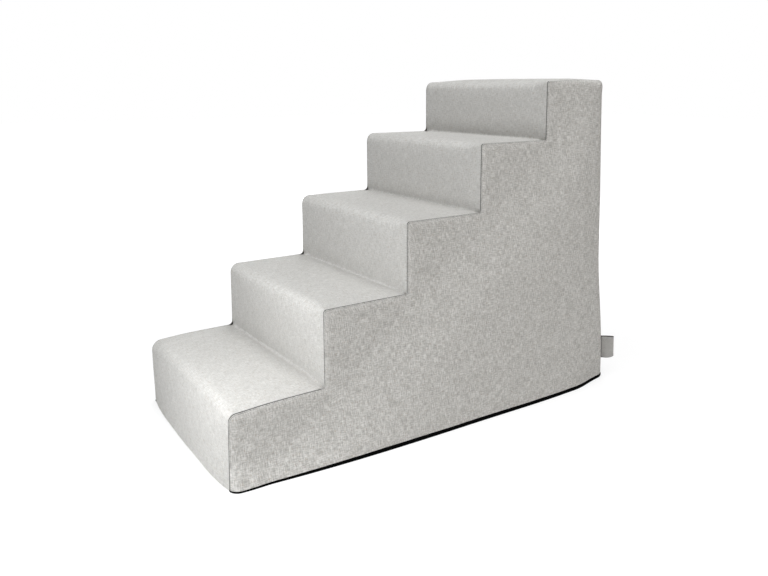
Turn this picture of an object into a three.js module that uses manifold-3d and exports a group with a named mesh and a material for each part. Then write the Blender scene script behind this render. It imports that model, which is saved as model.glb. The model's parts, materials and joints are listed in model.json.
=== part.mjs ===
// Foam dog steps: a core of glued foam slabs in a sewn cover, with a black non-slip base
// and a back flap that a zip holds shut on three sides.
// Millimetres, +Z up. X runs across the steps and Y from the front riser to the back.
// The origin is on the floor, under the middle of the steps.
import * as THREE from "three";
import { mergeVertices, toCreasedNormals } from "three/addons/utils/BufferGeometryUtils.js";
import Module from "manifold-3d";

// ---- The steps
const STEP_COUNT = 5;
const STEP_RISE = 116.8;
const TOP_RISE = 104.3; // the last step up, onto the top
const STEP_RUN = 152.4;
const WIDTH = 381; // across the top, and across each tread

// ---- The cover's fabric and seams
const FABRIC = 1.5;
const SEAM_GAP = 0.3; // between two panels that are sewn to each other
const SIDE_ROLL = 12; // the side panels roll over onto the treads and risers by this radius
const NOSING_RADIUS = 15;
const FOOT_FILLET = 6; // the fabric bridges the corner at the foot of a riser
const BACK_TOP_RADIUS = 17;
const BACK_CORNER_RADIUS = 25; // the upright corners at the back, seen from above
const STRIP_TURNDOWN = 22.5; // how far the tread strip comes down over the back

// ---- The foam pushes the sides out, most of all near the floor
const SIDE_BULGE = 25;
const BULGE_REACH = 110; // from the line of the treads down, over which the bulge grows
const BULGE_BACK_REACH = 65; // and from the back forward
const BULGE_BACK_START = 14; // the bulge hasn't quite died out at the back
const BULGE_UPPER_SHARE = 0.45; // how much of it is left high up
const BULGE_FALL = 160; // height over which it lessens

// ---- The foam core
const FOAM_GAP = 0.3; // between the foam and the cover
const GLUE_LINE = 0.3;
const CHANNEL_GAP = 1; // beside the slider, in the channel that the foam leaves for it

// ---- The non-slip base
const BASE_THICKNESS = 1.6;
const BASE_RIM = 6; // how far the base's edge turns up the sides and the back

// ---- The zip round the back flap
const ZIP_SIDE_INSET = 38.5; // from the side of the steps to the middle of the chain
const ZIP_BOTTOM = 45; // height of the middle of the chain under the flap
const ZIP_CORNER_RADIUS = 20;
const CHAIN_TOP_INSET = 9; // from the flap's fold down to the top of the chain
const TAPE_TUCK = 4; // the cover's tapes run up under the tread strip by this much
const CHAIN_WIDTH = 6;
const COIL_THICKNESS = 2.2;
const TAPE_WIDTH = 13;
const TAPE_THICKNESS = 0.6;
const FABRIC_TO_CHAIN = 2.6; // from the chain's edge to the folded edge of the fabric

// ---- The slider, its pull and the stops
const PARKED_BELOW_FOLD = 34; // from the flap's fold down to the middle of the parked slider
const SLIDER_LENGTH = 13;
const SLIDER_TAIL_WIDTH = 9;
const SLIDER_MOUTH_WIDTH = 10.4;
const PLATE_THICKNESS = 1.2;
const RUNNING_GAP = 0.3;
const POST_WIDTH = 0.8;
const POST_LENGTH = 3.6;
const BRIDGE_RADIUS = 3.6; // the arch that the pull swings round, at the middle of its bar
const BRIDGE_BAR = 1.4;
const BRIDGE_WIDTH = 2;
const BRIDGE_LIFT = 1.1; // from the outer plate to the arch's centre
const PULL_LENGTH = 29;
const PULL_WIDTH = 6.5;
const PULL_NECK_WIDTH = 5.2;
const PULL_THICKNESS = 1.2;
const PULL_WINDOW_LENGTH = 9;
const PULL_WINDOW_WIDTH = 2.8;
const PULL_NECK_CORNER = 0.6;
const PULL_NECK_LENGTH = 1.4; // from the eye down to the shoulders
const PULL_SHOULDER_DROP = 3.6;
const PULL_NECK_BEND = 1.5;
const PULL_SHOULDER_BEND = 3;
const PULL_END_FLAT = 0.3; // the pull's end is this much short of a half circle each side
const WINDOW_END_FLAT = 0.1;
const STOP_LENGTH = 3.2;
const PLATE_TAIL_CORNER = 1.5;
const PLATE_WAIST_BEND = 4;
const PLATE_MOUTH_CORNER = 2.5;
const POST_FROM_MOUTH = 0.6;
const FUSED_DEPTH = 0.2; // how far the cast slider's parts run into each other

// ---- The loop label in the seam at the back right corner
const LABEL_HEIGHT = 40;
const LABEL_REACH = 28;
const LABEL_FOOT = 34; // from the floor to the label's lower edge
const LABEL_FABRIC = 0.5;
const LABEL_LOOP = 2.2; // the folded label's thickness at its round end
const LABEL_GAP = 0.4; // from the seam, whose threads hold it

// ---- Facets
const ARC_STEPS = 3; // an arc in an outline gets twice this many chords
const ROLL_STEPS = 4;
const BULGE_ROWS = 9; // facets of a side's bulge, up and along
const BULGE_COLUMNS = 9;
const CREASE_ANGLE = 0.6;

const LENGTH = STEP_COUNT * STEP_RUN;
const HEIGHT = (STEP_COUNT - 1) * STEP_RISE + TOP_RISE;
const HALF_WIDTH = WIDTH / 2;
const FRONT = -LENGTH / 2;
const BACK = LENGTH / 2;
const CHAIN_SLIT = POST_WIDTH + 2 * RUNNING_GAP; // between the zip's halves, for the post
const SEAM_X = HALF_WIDTH - SIDE_ROLL; // the seams between the tread strip and the side panels
const FOLD_Z = HEIGHT - STRIP_TURNDOWN; // the seam that the back flap turns about
const FAR = 2 * (LENGTH + HEIGHT + WIDTH); // reaches past everything
const treadHeight = (step) => (step < STEP_COUNT ? step * STEP_RISE : HEIGHT);

const wasm = await Module();
wasm.setup();

// ---------------------------------------------------------------- solids

// A closed three.js geometry as a solid that can be joined and cut.
function solid(geometry) {
  const bare = geometry.clone();
  for (const name of Object.keys(bare.attributes)) {
    if (name !== "position") bare.deleteAttribute(name);
  }
  const merged = mergeVertices(bare, 1e-4);
  return new wasm.Manifold(
    new wasm.Mesh({
      numProp: 3,
      vertProperties: merged.attributes.position.array,
      triVerts: new Uint32Array(merged.index.array),
    }),
  );
}

// A solid back as a three.js geometry.
function geometryOf(body) {
  const mesh = body.getMesh();
  const geometry = new THREE.BufferGeometry();
  geometry.setAttribute("position", new THREE.BufferAttribute(mesh.vertProperties, 3));
  geometry.setIndex(new THREE.BufferAttribute(mesh.triVerts, 1));
  return toCreasedNormals(geometry, CREASE_ANGLE);
}

// Three ways to stand an extrusion: a side view drawn in Y and Z and pushed along +X,
// a back view drawn in X and Z and pushed along -Y, and a plan drawn in X and Y and pushed up.
const SIDE_VIEW = new THREE.Matrix4().makeBasis(
  new THREE.Vector3(0, 1, 0),
  new THREE.Vector3(0, 0, 1),
  new THREE.Vector3(1, 0, 0),
);
const BACK_VIEW = new THREE.Matrix4().makeBasis(
  new THREE.Vector3(1, 0, 0),
  new THREE.Vector3(0, 0, 1),
  new THREE.Vector3(0, -1, 0),
);

function extrusion(shape, depth, bevel = {}) {
  return new THREE.ExtrudeGeometry(shape, {
    depth,
    steps: 1,
    curveSegments: ARC_STEPS,
    bevelEnabled: false,
    ...bevel,
  });
}

// A side view from x0 to x1.
function sideways(shape, x0, x1) {
  return solid(extrusion(shape, x1 - x0).applyMatrix4(SIDE_VIEW).translate(x0, 0, 0));
}

// A back view from y0 back to y1, where y0 is the outer one.
function backwards(shape, y0, y1) {
  return solid(extrusion(shape, y0 - y1).applyMatrix4(BACK_VIEW).translate(0, y0, 0));
}

// A plan from z0 up to z1.
function upwards(shape, z0, z1) {
  return solid(extrusion(shape, z1 - z0).translate(0, 0, z0));
}

function block(x0, x1, y0, y1, z0, z1) {
  const box = new THREE.BoxGeometry(x1 - x0, y1 - y0, z1 - z0);
  return solid(box.translate((x0 + x1) / 2, (y0 + y1) / 2, (z0 + z1) / 2));
}

// A closed outline through corners [u, v, radius], each rounded by its own radius.
function rounded(corners) {
  const shape = new THREE.Shape();
  const count = corners.length;
  corners.forEach(([u, v, radius = 0], i) => {
    const at = new THREE.Vector2(u, v);
    const before = new THREE.Vector2(...corners[(i + count - 1) % count]).sub(at).normalize();
    const after = new THREE.Vector2(...corners[(i + 1) % count]).sub(at).normalize();
    if (radius <= 0) {
      if (i === 0) shape.moveTo(u, v);
      else shape.lineTo(u, v);
      return;
    }
    const half = Math.acos(THREE.MathUtils.clamp(before.dot(after), -1, 1)) / 2;
    const reach = radius / Math.tan(half);
    const start = at.clone().addScaledVector(before, reach);
    const end = at.clone().addScaledVector(after, reach);
    const middle = before.clone().add(after).normalize();
    const centre = at.clone().addScaledVector(middle, radius / Math.sin(half));
    if (i === 0) shape.moveTo(start.x, start.y);
    else shape.lineTo(start.x, start.y);
    shape.absarc(
      centre.x,
      centre.y,
      radius,
      Math.atan2(start.y - centre.y, start.x - centre.x),
      Math.atan2(end.y - centre.y, end.x - centre.x),
      before.cross(after) > 0,
    );
  });
  shape.closePath();
  return shape;
}

// ---------------------------------------------------------------- the body of the steps

// The steps from the side, drawn in by `inset` from the cover's outer face. It runs on below
// the floor, so that only the edges above the floor are rolled.
function stepOutline(inset, footFillet) {
  const below = -3 * SIDE_ROLL;
  const corners = [[FRONT + inset, below]];
  for (let step = 1; step <= STEP_COUNT; step++) {
    const riser = FRONT + (step - 1) * STEP_RUN + inset;
    const tread = treadHeight(step) - inset;
    corners.push([riser, tread, NOSING_RADIUS - inset]);
    if (step < STEP_COUNT) corners.push([riser + STEP_RUN, tread, footFillet + inset]);
  }
  corners.push([BACK - inset, HEIGHT - inset, BACK_TOP_RADIUS - inset]);
  corners.push([BACK - inset, below]);
  return rounded(corners.reverse());
}

function planOutline(inset, backInset = inset) {
  const x = HALF_WIDTH - inset;
  return rounded([
    [-x, FRONT + inset, SIDE_ROLL - inset],
    [x, FRONT + inset, SIDE_ROLL - inset],
    [x, BACK - backInset, BACK_CORNER_RADIUS - inset],
    [-x, BACK - backInset, BACK_CORNER_RADIUS - inset],
  ]);
}

// How far the foam pushes a side out, at a place on the side. It is nothing along the treads.
const PITCH = Math.atan2(STEP_RISE, STEP_RUN);
function bulge(y, z) {
  const below = (y - FRONT) * Math.sin(PITCH) - z * Math.cos(PITCH) - SIDE_ROLL;
  const deep = Math.max(0, Math.min(below, HEIGHT - SIDE_ROLL - z));
  const fromBack = (BACK - y + BULGE_BACK_START) / BULGE_BACK_REACH;
  const growth = (1 - Math.exp(-deep / BULGE_REACH)) * (1 - Math.exp(-(fromBack ** 1.3)));
  const height = BULGE_UPPER_SHARE + (1 - BULGE_UPPER_SHARE) * Math.exp(-z / BULGE_FALL);
  return SIDE_BULGE * growth * height;
}

// The right side's bulge as a solid that is joined to the body: a wall from z0 up, under the
// line of the treads, whose outer face stands out by the bulge and turns the back corner.
function bulgedWall(inset, backInset, z0) {
  const cornerY = BACK - backInset - BACK_CORNER_RADIUS + inset;
  const frontAt = (z) => FRONT + (z * Math.cos(PITCH) + SIDE_ROLL) / Math.sin(PITCH);
  const top = ((cornerY - SIDE_ROLL - FRONT) * Math.sin(PITCH) - SIDE_ROLL) / Math.cos(PITCH);
  const innerX = HALF_WIDTH - BACK_CORNER_RADIUS;
  const ring = (z) => {
    const front = frontAt(Math.max(z, 0));
    const places = [];
    for (let i = 0; i < BULGE_COLUMNS; i++) {
      places.push([HALF_WIDTH - inset, front + ((cornerY - front) * i) / BULGE_COLUMNS]);
    }
    for (let i = 0; i < 2 * ARC_STEPS; i++) {
      const angle = (i / (2 * ARC_STEPS)) * (Math.PI / 2);
      const radius = BACK_CORNER_RADIUS - inset;
      places.push([innerX + radius * Math.cos(angle), cornerY + radius * Math.sin(angle)]);
    }
    const outer = places.map(([x, y]) => [x + bulge(y, Math.max(z, 0)), y, z]);
    return [...outer, [innerX, outer.at(-1)[1], z], [innerX, front, z]];
  };
  const rings = [];
  for (let i = 0; i <= BULGE_ROWS; i++) rings.push(ring(z0 + ((top - z0) * i) / BULGE_ROWS));
  const count = rings[0].length;
  const corners = [];
  const triangle = (a, b, c) => corners.push(...a, ...b, ...c);
  for (let i = 0; i < BULGE_ROWS; i++) {
    for (let j = 0; j < count; j++) {
      const next = (j + 1) % count;
      triangle(rings[i][j], rings[i][next], rings[i + 1][next]);
      triangle(rings[i][j], rings[i + 1][next], rings[i + 1][j]);
    }
  }
  for (const [cap, flip] of [[rings[0], true], [rings.at(-1), false]]) {
    const outline = cap.map(([x, y]) => new THREE.Vector2(x, y));
    for (const [a, b, c] of THREE.ShapeUtils.triangulateShape(outline, [])) {
      if (flip) triangle(cap[a], cap[c], cap[b]);
      else triangle(cap[a], cap[b], cap[c]);
    }
  }
  const geometry = new THREE.BufferGeometry();
  geometry.setAttribute("position", new THREE.Float32BufferAttribute(corners, 3));
  return solid(geometry);
}

// The whole body of the steps, drawn in by `inset`, from z0 up.
function stepBody(inset, z0, footFillet = FOOT_FILLET, backInset = inset) {
  const roll = SIDE_ROLL - inset;
  const depth = WIDTH - 2 * inset - 2 * roll;
  const bevel = {
    bevelEnabled: true,
    bevelThickness: roll,
    bevelSize: roll,
    bevelOffset: -roll,
    bevelSegments: ROLL_STEPS,
  };
  const profile = extrusion(stepOutline(inset, footFillet), depth, bevel);
  const rolled = solid(profile.applyMatrix4(SIDE_VIEW).translate(-depth / 2, 0, 0));
  const upright = rolled.intersect(upwards(planOutline(inset, backInset), z0, HEIGHT + 1));
  const right = bulgedWall(inset, backInset, z0);
  return upright.add(right).add(right.mirror([1, 0, 0]));
}

const outerBody = stepBody(0, 0);
const innerBody = stepBody(FABRIC, -1);
const coverShell = outerBody.subtract(innerBody);

// What lies behind the seams at the two back corners and below the fold, where the back
// panels are. `gap` moves those seams.
function backRegion(gap) {
  const corner = HALF_WIDTH - BACK_CORNER_RADIUS;
  const start = BACK - BACK_CORNER_RADIUS + gap;
  const reach = 2 * BACK_CORNER_RADIUS;
  const wedge = new THREE.Shape([
    new THREE.Vector2(-corner - reach, start + reach),
    new THREE.Vector2(-corner, start),
    new THREE.Vector2(corner, start),
    new THREE.Vector2(corner + reach, start + reach),
  ]);
  return upwards(wedge, -1, FOLD_Z - gap);
}

// ---------------------------------------------------------------- the zip's run

const ZIP_X = HALF_WIDTH - ZIP_SIDE_INSET;
const CHAIN_TOP = FOLD_Z - CHAIN_TOP_INSET;
const COVER_TAPE_TOP = FOLD_Z + TAPE_TUCK;
const FLAP_TAPE_TOP = FOLD_Z - SEAM_GAP;
const SLIDER_Z = FOLD_Z - PARKED_BELOW_FOLD;
const FABRIC_OPENING = CHAIN_WIDTH / 2 + FABRIC_TO_CHAIN;
const TAPE_OUTER_FACE = BACK - FABRIC - SEAM_GAP;
const TAPE_INNER_FACE = TAPE_OUTER_FACE - TAPE_THICKNESS;
const COIL_INNER_FACE = TAPE_OUTER_FACE + SEAM_GAP;
const COIL_OUTER_FACE = COIL_INNER_FACE + COIL_THICKNESS;
const END_STOP_Z = SLIDER_Z + SLIDER_LENGTH / 2 + RUNNING_GAP;
const START_STOP_Z = CHAIN_TOP - STOP_LENGTH;
// Beside the parked slider and its pull, the flap's row of coil stays with the cover.
const CLOSING_END_Z = SLIDER_Z - PULL_LENGTH - BRIDGE_RADIUS;

// A U along the chain's run, between two distances from its middle (positive is outwards),
// with its left and right legs up to their own heights.
function runBand(near, far, leftTop, rightTop) {
  const radiusAt = (offset) => ZIP_CORNER_RADIUS + offset;
  const outer = ZIP_X + far;
  const inner = ZIP_X + near;
  return rounded([
    [-outer, leftTop],
    [-outer, ZIP_BOTTOM - far, radiusAt(far)],
    [outer, ZIP_BOTTOM - far, radiusAt(far)],
    [outer, rightTop],
    [inner, rightTop],
    [inner, ZIP_BOTTOM - near, radiusAt(near)],
    [-inner, ZIP_BOTTOM - near, radiusAt(near)],
    [-inner, leftTop],
  ]);
}

// The area inside the run, drawn in or out from the middle of the chain.
function insideRun(offset, top) {
  const x = ZIP_X + offset;
  return rounded([
    [-x, ZIP_BOTTOM - offset, ZIP_CORNER_RADIUS + offset],
    [x, ZIP_BOTTOM - offset, ZIP_CORNER_RADIUS + offset],
    [x, top],
    [-x, top],
  ]);
}

// ---------------------------------------------------------------- materials

const standard = (color, roughness, metalness = 0) =>
  new THREE.MeshStandardMaterial({ color, roughness, metalness });
const MATERIALS = {
  linen: standard(0xb9b6b0, 0.95),
  foam: standard(0xe9e2cc, 0.9),
  base: standard(0x101011, 0.85),
  tape: standard(0x16161a, 0.9),
  coil: standard(0x1a1a1e, 0.45),
  metal: standard(0x2a2b2e, 0.35, 0.8),
  label: standard(0xa9a8a4, 0.8),
};

function piece(name, body, material) {
  const mesh = new THREE.Mesh(geometryOf(body), material);
  mesh.name = name;
  return mesh;
}

// ---------------------------------------------------------------- the foam core

// One slab for each step, cut to the length that is left, and glued to the slab below.
function foamCore() {
  const core = new THREE.Group();
  const inset = FABRIC + FOAM_GAP;
  const floor = BASE_THICKNESS + FOAM_GAP;
  const backInset = BACK - TAPE_INNER_FACE + FOAM_GAP;
  const body = stepBody(inset, floor, -inset, backInset);
  const half = SLIDER_MOUTH_WIDTH / 2 + CHANNEL_GAP;
  const channelFoot = TAPE_INNER_FACE - PLATE_THICKNESS - 2 * RUNNING_GAP;
  const channel = backwards(runBand(-half, half, FOLD_Z, FOLD_Z), BACK, channelFoot);
  const relieved = body.subtract(channel);
  for (let step = 1; step <= STEP_COUNT; step++) {
    const low = step === 1 ? -1 : treadHeight(step - 1) - inset + GLUE_LINE;
    const high = treadHeight(step) - inset;
    const slab = relieved.intersect(block(-FAR, FAR, -FAR, FAR, low, high));
    core.add(piece(`foam_slab_${step}`, slab, MATERIALS.foam));
  }
  return core;
}

// ---------------------------------------------------------------- the sewn cover

function treadStrip() {
  const half = SEAM_X - SEAM_GAP / 2;
  const strip = coverShell
    .intersect(block(-half, half, -FAR, FAR, SEAM_GAP, FAR))
    .subtract(backRegion(-SEAM_GAP / 2))
    .subtract(block(-FAR, FAR, BACK - BACK_CORNER_RADIUS, FAR, -1, FOLD_Z + SEAM_GAP / 2));
  return piece("tread_strip", strip, MATERIALS.linen);
}

function sidePanel(name, side) {
  const edge = SEAM_X + SEAM_GAP / 2;
  const [x0, x1] = side > 0 ? [edge, FAR] : [-FAR, -edge];
  const panel = coverShell
    .intersect(block(x0, x1, -FAR, FAR, BASE_RIM + SEAM_GAP, FAR))
    .subtract(backRegion(-SEAM_GAP / 2));
  return piece(name, panel, MATERIALS.linen);
}

// The back, inside the seams at its corners, without the opening for the chain.
function backPanels() {
  const group = new THREE.Group();
  const low = BASE_RIM + SEAM_GAP;
  const back = coverShell
    .intersect(backRegion(SEAM_GAP / 2))
    .intersect(block(-FAR, FAR, -FAR, FAR, low, FAR));
  const through = (shape) => backwards(shape, BACK + 1, BACK - BACK_CORNER_RADIUS - 1);
  const border = back.subtract(through(insideRun(FABRIC_OPENING, FAR)));
  const innerX = ZIP_X + FABRIC_OPENING;
  const innerZ = ZIP_BOTTOM - FABRIC_OPENING;
  // The bottom border meets the side borders in a mitre at each lower corner.
  const mitre = (gap) =>
    through(
      new THREE.Shape([
        new THREE.Vector2(-HALF_WIDTH + gap, low - 1),
        new THREE.Vector2(HALF_WIDTH - gap, low - 1),
        new THREE.Vector2(innerX - ZIP_CORNER_RADIUS / 3 - gap, innerZ + ZIP_CORNER_RADIUS / 3),
        new THREE.Vector2(-innerX + ZIP_CORNER_RADIUS / 3 + gap, innerZ + ZIP_CORNER_RADIUS / 3),
      ]),
    );
  const bottom = border.intersect(mitre(SEAM_GAP / 2));
  const sides = border.subtract(mitre(-SEAM_GAP / 2));
  const leftHalf = block(-FAR, 0, -FAR, FAR, -FAR, FAR);
  group.add(piece("back_border_bottom", bottom, MATERIALS.linen));
  group.add(piece("back_border_left", sides.intersect(leftHalf), MATERIALS.linen));
  group.add(piece("back_border_right", sides.subtract(leftHalf), MATERIALS.linen));
  const flap = back.intersect(through(insideRun(-FABRIC_OPENING, FAR)));
  group.add(piece("back_flap", flap, MATERIALS.linen));
  return group;
}

// A shallow tray of rubber-dotted fabric: its edge turns up everywhere but along the front,
// where the tread strip comes down to the floor.
function basePanel() {
  const tray = outerBody
    .intersect(block(-FAR, FAR, -FAR, FAR, -1, BASE_RIM))
    .subtract(stepBody(FABRIC, BASE_THICKNESS));
  const strip = SEAM_X + SEAM_GAP / 2;
  const front = block(-strip, strip, -FAR, FRONT + FABRIC + SEAM_GAP, -1, FAR);
  return piece("base_panel", tray.subtract(front), MATERIALS.base);
}

// A woven label, folded to a loop and sewn into the seam at the back right corner.
function sideLabel() {
  const half = LABEL_LOOP / 2;
  const inner = half - LABEL_FABRIC;
  const loop = new THREE.Shape();
  loop.moveTo(0, -half);
  loop.lineTo(LABEL_REACH - half, -half);
  loop.absarc(LABEL_REACH - half, 0, half, -Math.PI / 2, Math.PI / 2, false);
  loop.lineTo(0, half);
  loop.lineTo(0, inner);
  loop.lineTo(LABEL_REACH - half, inner);
  loop.absarc(LABEL_REACH - half, 0, inner, Math.PI / 2, -Math.PI / 2, true);
  loop.lineTo(0, -inner);
  loop.closePath();
  const label = piece("side_label", upwards(loop, 0, LABEL_HEIGHT), MATERIALS.label);
  const swell = bulge(BACK - BACK_CORNER_RADIUS * (1 - Math.SQRT1_2), LABEL_FOOT) / 2;
  const reach = (BACK_CORNER_RADIUS + LABEL_GAP) * Math.SQRT1_2 + swell;
  label.position.set(
    HALF_WIDTH - BACK_CORNER_RADIUS + reach,
    BACK - BACK_CORNER_RADIUS + reach,
    LABEL_FOOT,
  );
  label.rotation.z = Math.PI / 4;
  return label;
}

// ---------------------------------------------------------------- the zip

function zipTapes() {
  const group = new THREE.Group();
  const tape = (shape) => backwards(shape, TAPE_OUTER_FACE, TAPE_INNER_FACE);
  const near = CHAIN_SLIT / 2;
  const cover = tape(runBand(near, TAPE_WIDTH, COVER_TAPE_TOP, COVER_TAPE_TOP));
  const flap = tape(runBand(-TAPE_WIDTH, -near, CLOSING_END_Z - SEAM_GAP, FLAP_TAPE_TOP));
  const end = block(
    -ZIP_X + near,
    -ZIP_X + TAPE_WIDTH,
    TAPE_INNER_FACE,
    TAPE_OUTER_FACE,
    CLOSING_END_Z,
    COVER_TAPE_TOP,
  );
  group.add(piece("zip_tape_cover", cover, MATERIALS.tape));
  group.add(piece("zip_tape_flap", flap, MATERIALS.tape));
  group.add(piece("zip_tape_closing_end", end, MATERIALS.tape));
  return group;
}

// The two rows of coil, closed: each is a ribbed band along its tape's edge.
function zipCoils() {
  const group = new THREE.Group();
  const near = CHAIN_SLIT / 2;
  const far = CHAIN_WIDTH / 2;
  const coil = (shape) => backwards(shape, COIL_OUTER_FACE, COIL_INNER_FACE);
  const leftTop = END_STOP_Z - SEAM_GAP;
  const rightTop = START_STOP_Z - SEAM_GAP;
  const cover = coil(runBand(near, far, leftTop, rightTop));
  const flap = coil(runBand(-far, -near, CLOSING_END_Z - SEAM_GAP, rightTop));
  const end = block(
    -ZIP_X + near,
    -ZIP_X + far,
    COIL_INNER_FACE,
    COIL_OUTER_FACE,
    CLOSING_END_Z,
    leftTop,
  );
  group.add(piece("zip_coil_cover", cover, MATERIALS.coil));
  group.add(piece("zip_coil_flap", flap, MATERIALS.coil));
  group.add(piece("zip_coil_closing_end", end, MATERIALS.coil));
  return group;
}

// Stops crimped on the chain: one across both rows where the zip starts, at the top right,
// and one on each row above the parked slider.
function zipStops() {
  const group = new THREE.Group();
  const half = CHAIN_WIDTH / 2;
  const slit = CHAIN_SLIT / 2;
  const stop = (name, x0, x1, z) => {
    const body = block(x0, x1, COIL_INNER_FACE, COIL_OUTER_FACE, z, z + STOP_LENGTH);
    group.add(piece(name, body, MATERIALS.metal));
  };
  stop("zip_start_stop", ZIP_X - half, ZIP_X + half, START_STOP_Z);
  stop("zip_end_stop_cover", -ZIP_X - half, -ZIP_X - slit, END_STOP_Z);
  stop("zip_end_stop_flap", -ZIP_X + slit, -ZIP_X + half, END_STOP_Z);
  return group;
}

// The slider, drawn round its own middle: X across the chain, Y outwards from the chain's
// outer face, Z along the chain with the mouth on top.
function zipSlider() {
  const tail = SLIDER_TAIL_WIDTH / 2;
  const mouth = SLIDER_MOUTH_WIDTH / 2;
  const end = SLIDER_LENGTH / 2;
  const plate = rounded([
    [-tail, -end, PLATE_TAIL_CORNER],
    [tail, -end, PLATE_TAIL_CORNER],
    [tail, -end / 4, PLATE_WAIST_BEND],
    [mouth, end / 2, PLATE_WAIST_BEND],
    [mouth, end, PLATE_MOUTH_CORNER],
    [-mouth, end, PLATE_MOUTH_CORNER],
    [-mouth, end / 2, PLATE_WAIST_BEND],
    [-tail, -end / 4, PLATE_WAIST_BEND],
  ]);
  const outerPlateFoot = RUNNING_GAP;
  const outerPlateTop = outerPlateFoot + PLATE_THICKNESS;
  const tapeOuter = TAPE_OUTER_FACE - COIL_OUTER_FACE;
  const tapeInner = TAPE_INNER_FACE - COIL_OUTER_FACE;
  const innerPlateTop = tapeInner - RUNNING_GAP;
  const flangeFoot = tapeOuter + RUNNING_GAP;
  const channel = CHAIN_WIDTH / 2 + RUNNING_GAP;
  const outerPlate = backwards(plate, outerPlateTop, outerPlateFoot);
  const innerPlate = backwards(plate, innerPlateTop, innerPlateTop - PLATE_THICKNESS);
  // The outer plate's flanges close in on the chain's edges and leave a slot for the tapes.
  const flanges = backwards(plate, outerPlateFoot + FUSED_DEPTH, flangeFoot).subtract(
    block(-channel, channel, -FAR, FAR, -FAR, FAR),
  );
  const postHalf = POST_WIDTH / 2;
  const postTop = end - POST_FROM_MOUTH;
  const post = rounded([
    [0, postTop - POST_LENGTH],
    [postHalf, postTop - POST_LENGTH / 2],
    [0, postTop],
    [-postHalf, postTop - POST_LENGTH / 2],
  ]);
  const joined = outerPlate
    .add(flanges)
    .add(innerPlate)
    .add(backwards(post, outerPlateFoot + FUSED_DEPTH, innerPlateTop - FUSED_DEPTH));
  return joined.add(bridge(outerPlateTop));
}

// The arch on the slider that the pull hangs on.
function bridge(foot) {
  const outer = BRIDGE_RADIUS + BRIDGE_BAR / 2;
  const inner = BRIDGE_RADIUS - BRIDGE_BAR / 2;
  const centre = foot + BRIDGE_LIFT;
  const root = foot - FUSED_DEPTH;
  const arch = new THREE.Shape();
  arch.moveTo(root, -outer);
  arch.lineTo(centre, -outer);
  arch.absarc(centre, 0, outer, -Math.PI / 2, Math.PI / 2, false);
  arch.lineTo(root, outer);
  arch.lineTo(root, inner);
  arch.lineTo(centre, inner);
  arch.absarc(centre, 0, inner, Math.PI / 2, -Math.PI / 2, true);
  arch.lineTo(root, -inner);
  arch.closePath();
  return sideways(arch, -BRIDGE_WIDTH / 2, BRIDGE_WIDTH / 2);
}

// The pull, drawn round the arch's centre and hanging straight down.
function zipPull() {
  const eyeTop = -(BRIDGE_RADIUS - BRIDGE_BAR / 2 - RUNNING_GAP);
  const eyeBottom = -(BRIDGE_RADIUS + BRIDGE_BAR / 2 + RUNNING_GAP);
  const eyeHalf = BRIDGE_WIDTH / 2 + RUNNING_GAP;
  const neck = PULL_NECK_WIDTH / 2;
  const half = PULL_WIDTH / 2;
  const neckFoot = eyeBottom - PULL_NECK_LENGTH;
  const shoulder = neckFoot - PULL_SHOULDER_DROP;
  const outline = rounded([
    [-neck, eyeTop + BRIDGE_BAR, PULL_NECK_CORNER],
    [-neck, neckFoot, PULL_NECK_BEND],
    [-half, shoulder, PULL_SHOULDER_BEND],
    [-half, -PULL_LENGTH, half - PULL_END_FLAT],
    [half, -PULL_LENGTH, half - PULL_END_FLAT],
    [half, shoulder, PULL_SHOULDER_BEND],
    [neck, neckFoot, PULL_NECK_BEND],
    [neck, eyeTop + BRIDGE_BAR, PULL_NECK_CORNER],
  ]);
  const eye = rounded([
    [-eyeHalf, eyeBottom],
    [eyeHalf, eyeBottom],
    [eyeHalf, eyeTop],
    [-eyeHalf, eyeTop],
  ]);
  const windowHalf = PULL_WINDOW_WIDTH / 2;
  const windowFoot = -PULL_LENGTH + half;
  const windowTop = windowFoot + PULL_WINDOW_LENGTH;
  const windowCorner = windowHalf - WINDOW_END_FLAT;
  const window = rounded([
    [-windowHalf, windowFoot, windowCorner],
    [windowHalf, windowFoot, windowCorner],
    [windowHalf, windowTop, windowCorner],
    [-windowHalf, windowTop, windowCorner],
  ]);
  const thick = PULL_THICKNESS / 2;
  return backwards(outline, thick, -thick)
    .subtract(backwards(eye, FAR, -FAR))
    .subtract(backwards(window, FAR, -FAR));
}

function zip() {
  const group = new THREE.Group();
  group.add(zipTapes(), zipCoils(), zipStops());
  const carriage = new THREE.Group();
  carriage.position.set(-ZIP_X, COIL_OUTER_FACE, SLIDER_Z);
  carriage.add(piece("zip_slider", zipSlider(), MATERIALS.metal));
  const pull = piece("zip_pull", zipPull(), MATERIALS.metal);
  pull.position.y = RUNNING_GAP + PLATE_THICKNESS + BRIDGE_LIFT;
  carriage.add(pull);
  group.add(carriage);
  return group;
}

// ---------------------------------------------------------------- the whole object

const steps = new THREE.Group();
steps.add(foamCore());
steps.add(treadStrip());
steps.add(sidePanel("side_panel_left", -1));
steps.add(sidePanel("side_panel_right", 1));
steps.add(backPanels());
steps.add(basePanel());
steps.add(sideLabel());
steps.add(zip());

export default steps;
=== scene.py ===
"""Foam dog steps in a sewn linen-look cover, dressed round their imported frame.

Metres, +Z up. X runs across the steps and Y from the front riser to the back. Each operator
makes one group of pieces from the sizes in the sidebar's property groups and from the frame.
"""

import json
import math

import bmesh
import bpy
import numpy as np
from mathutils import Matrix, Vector, geometry, noise

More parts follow.
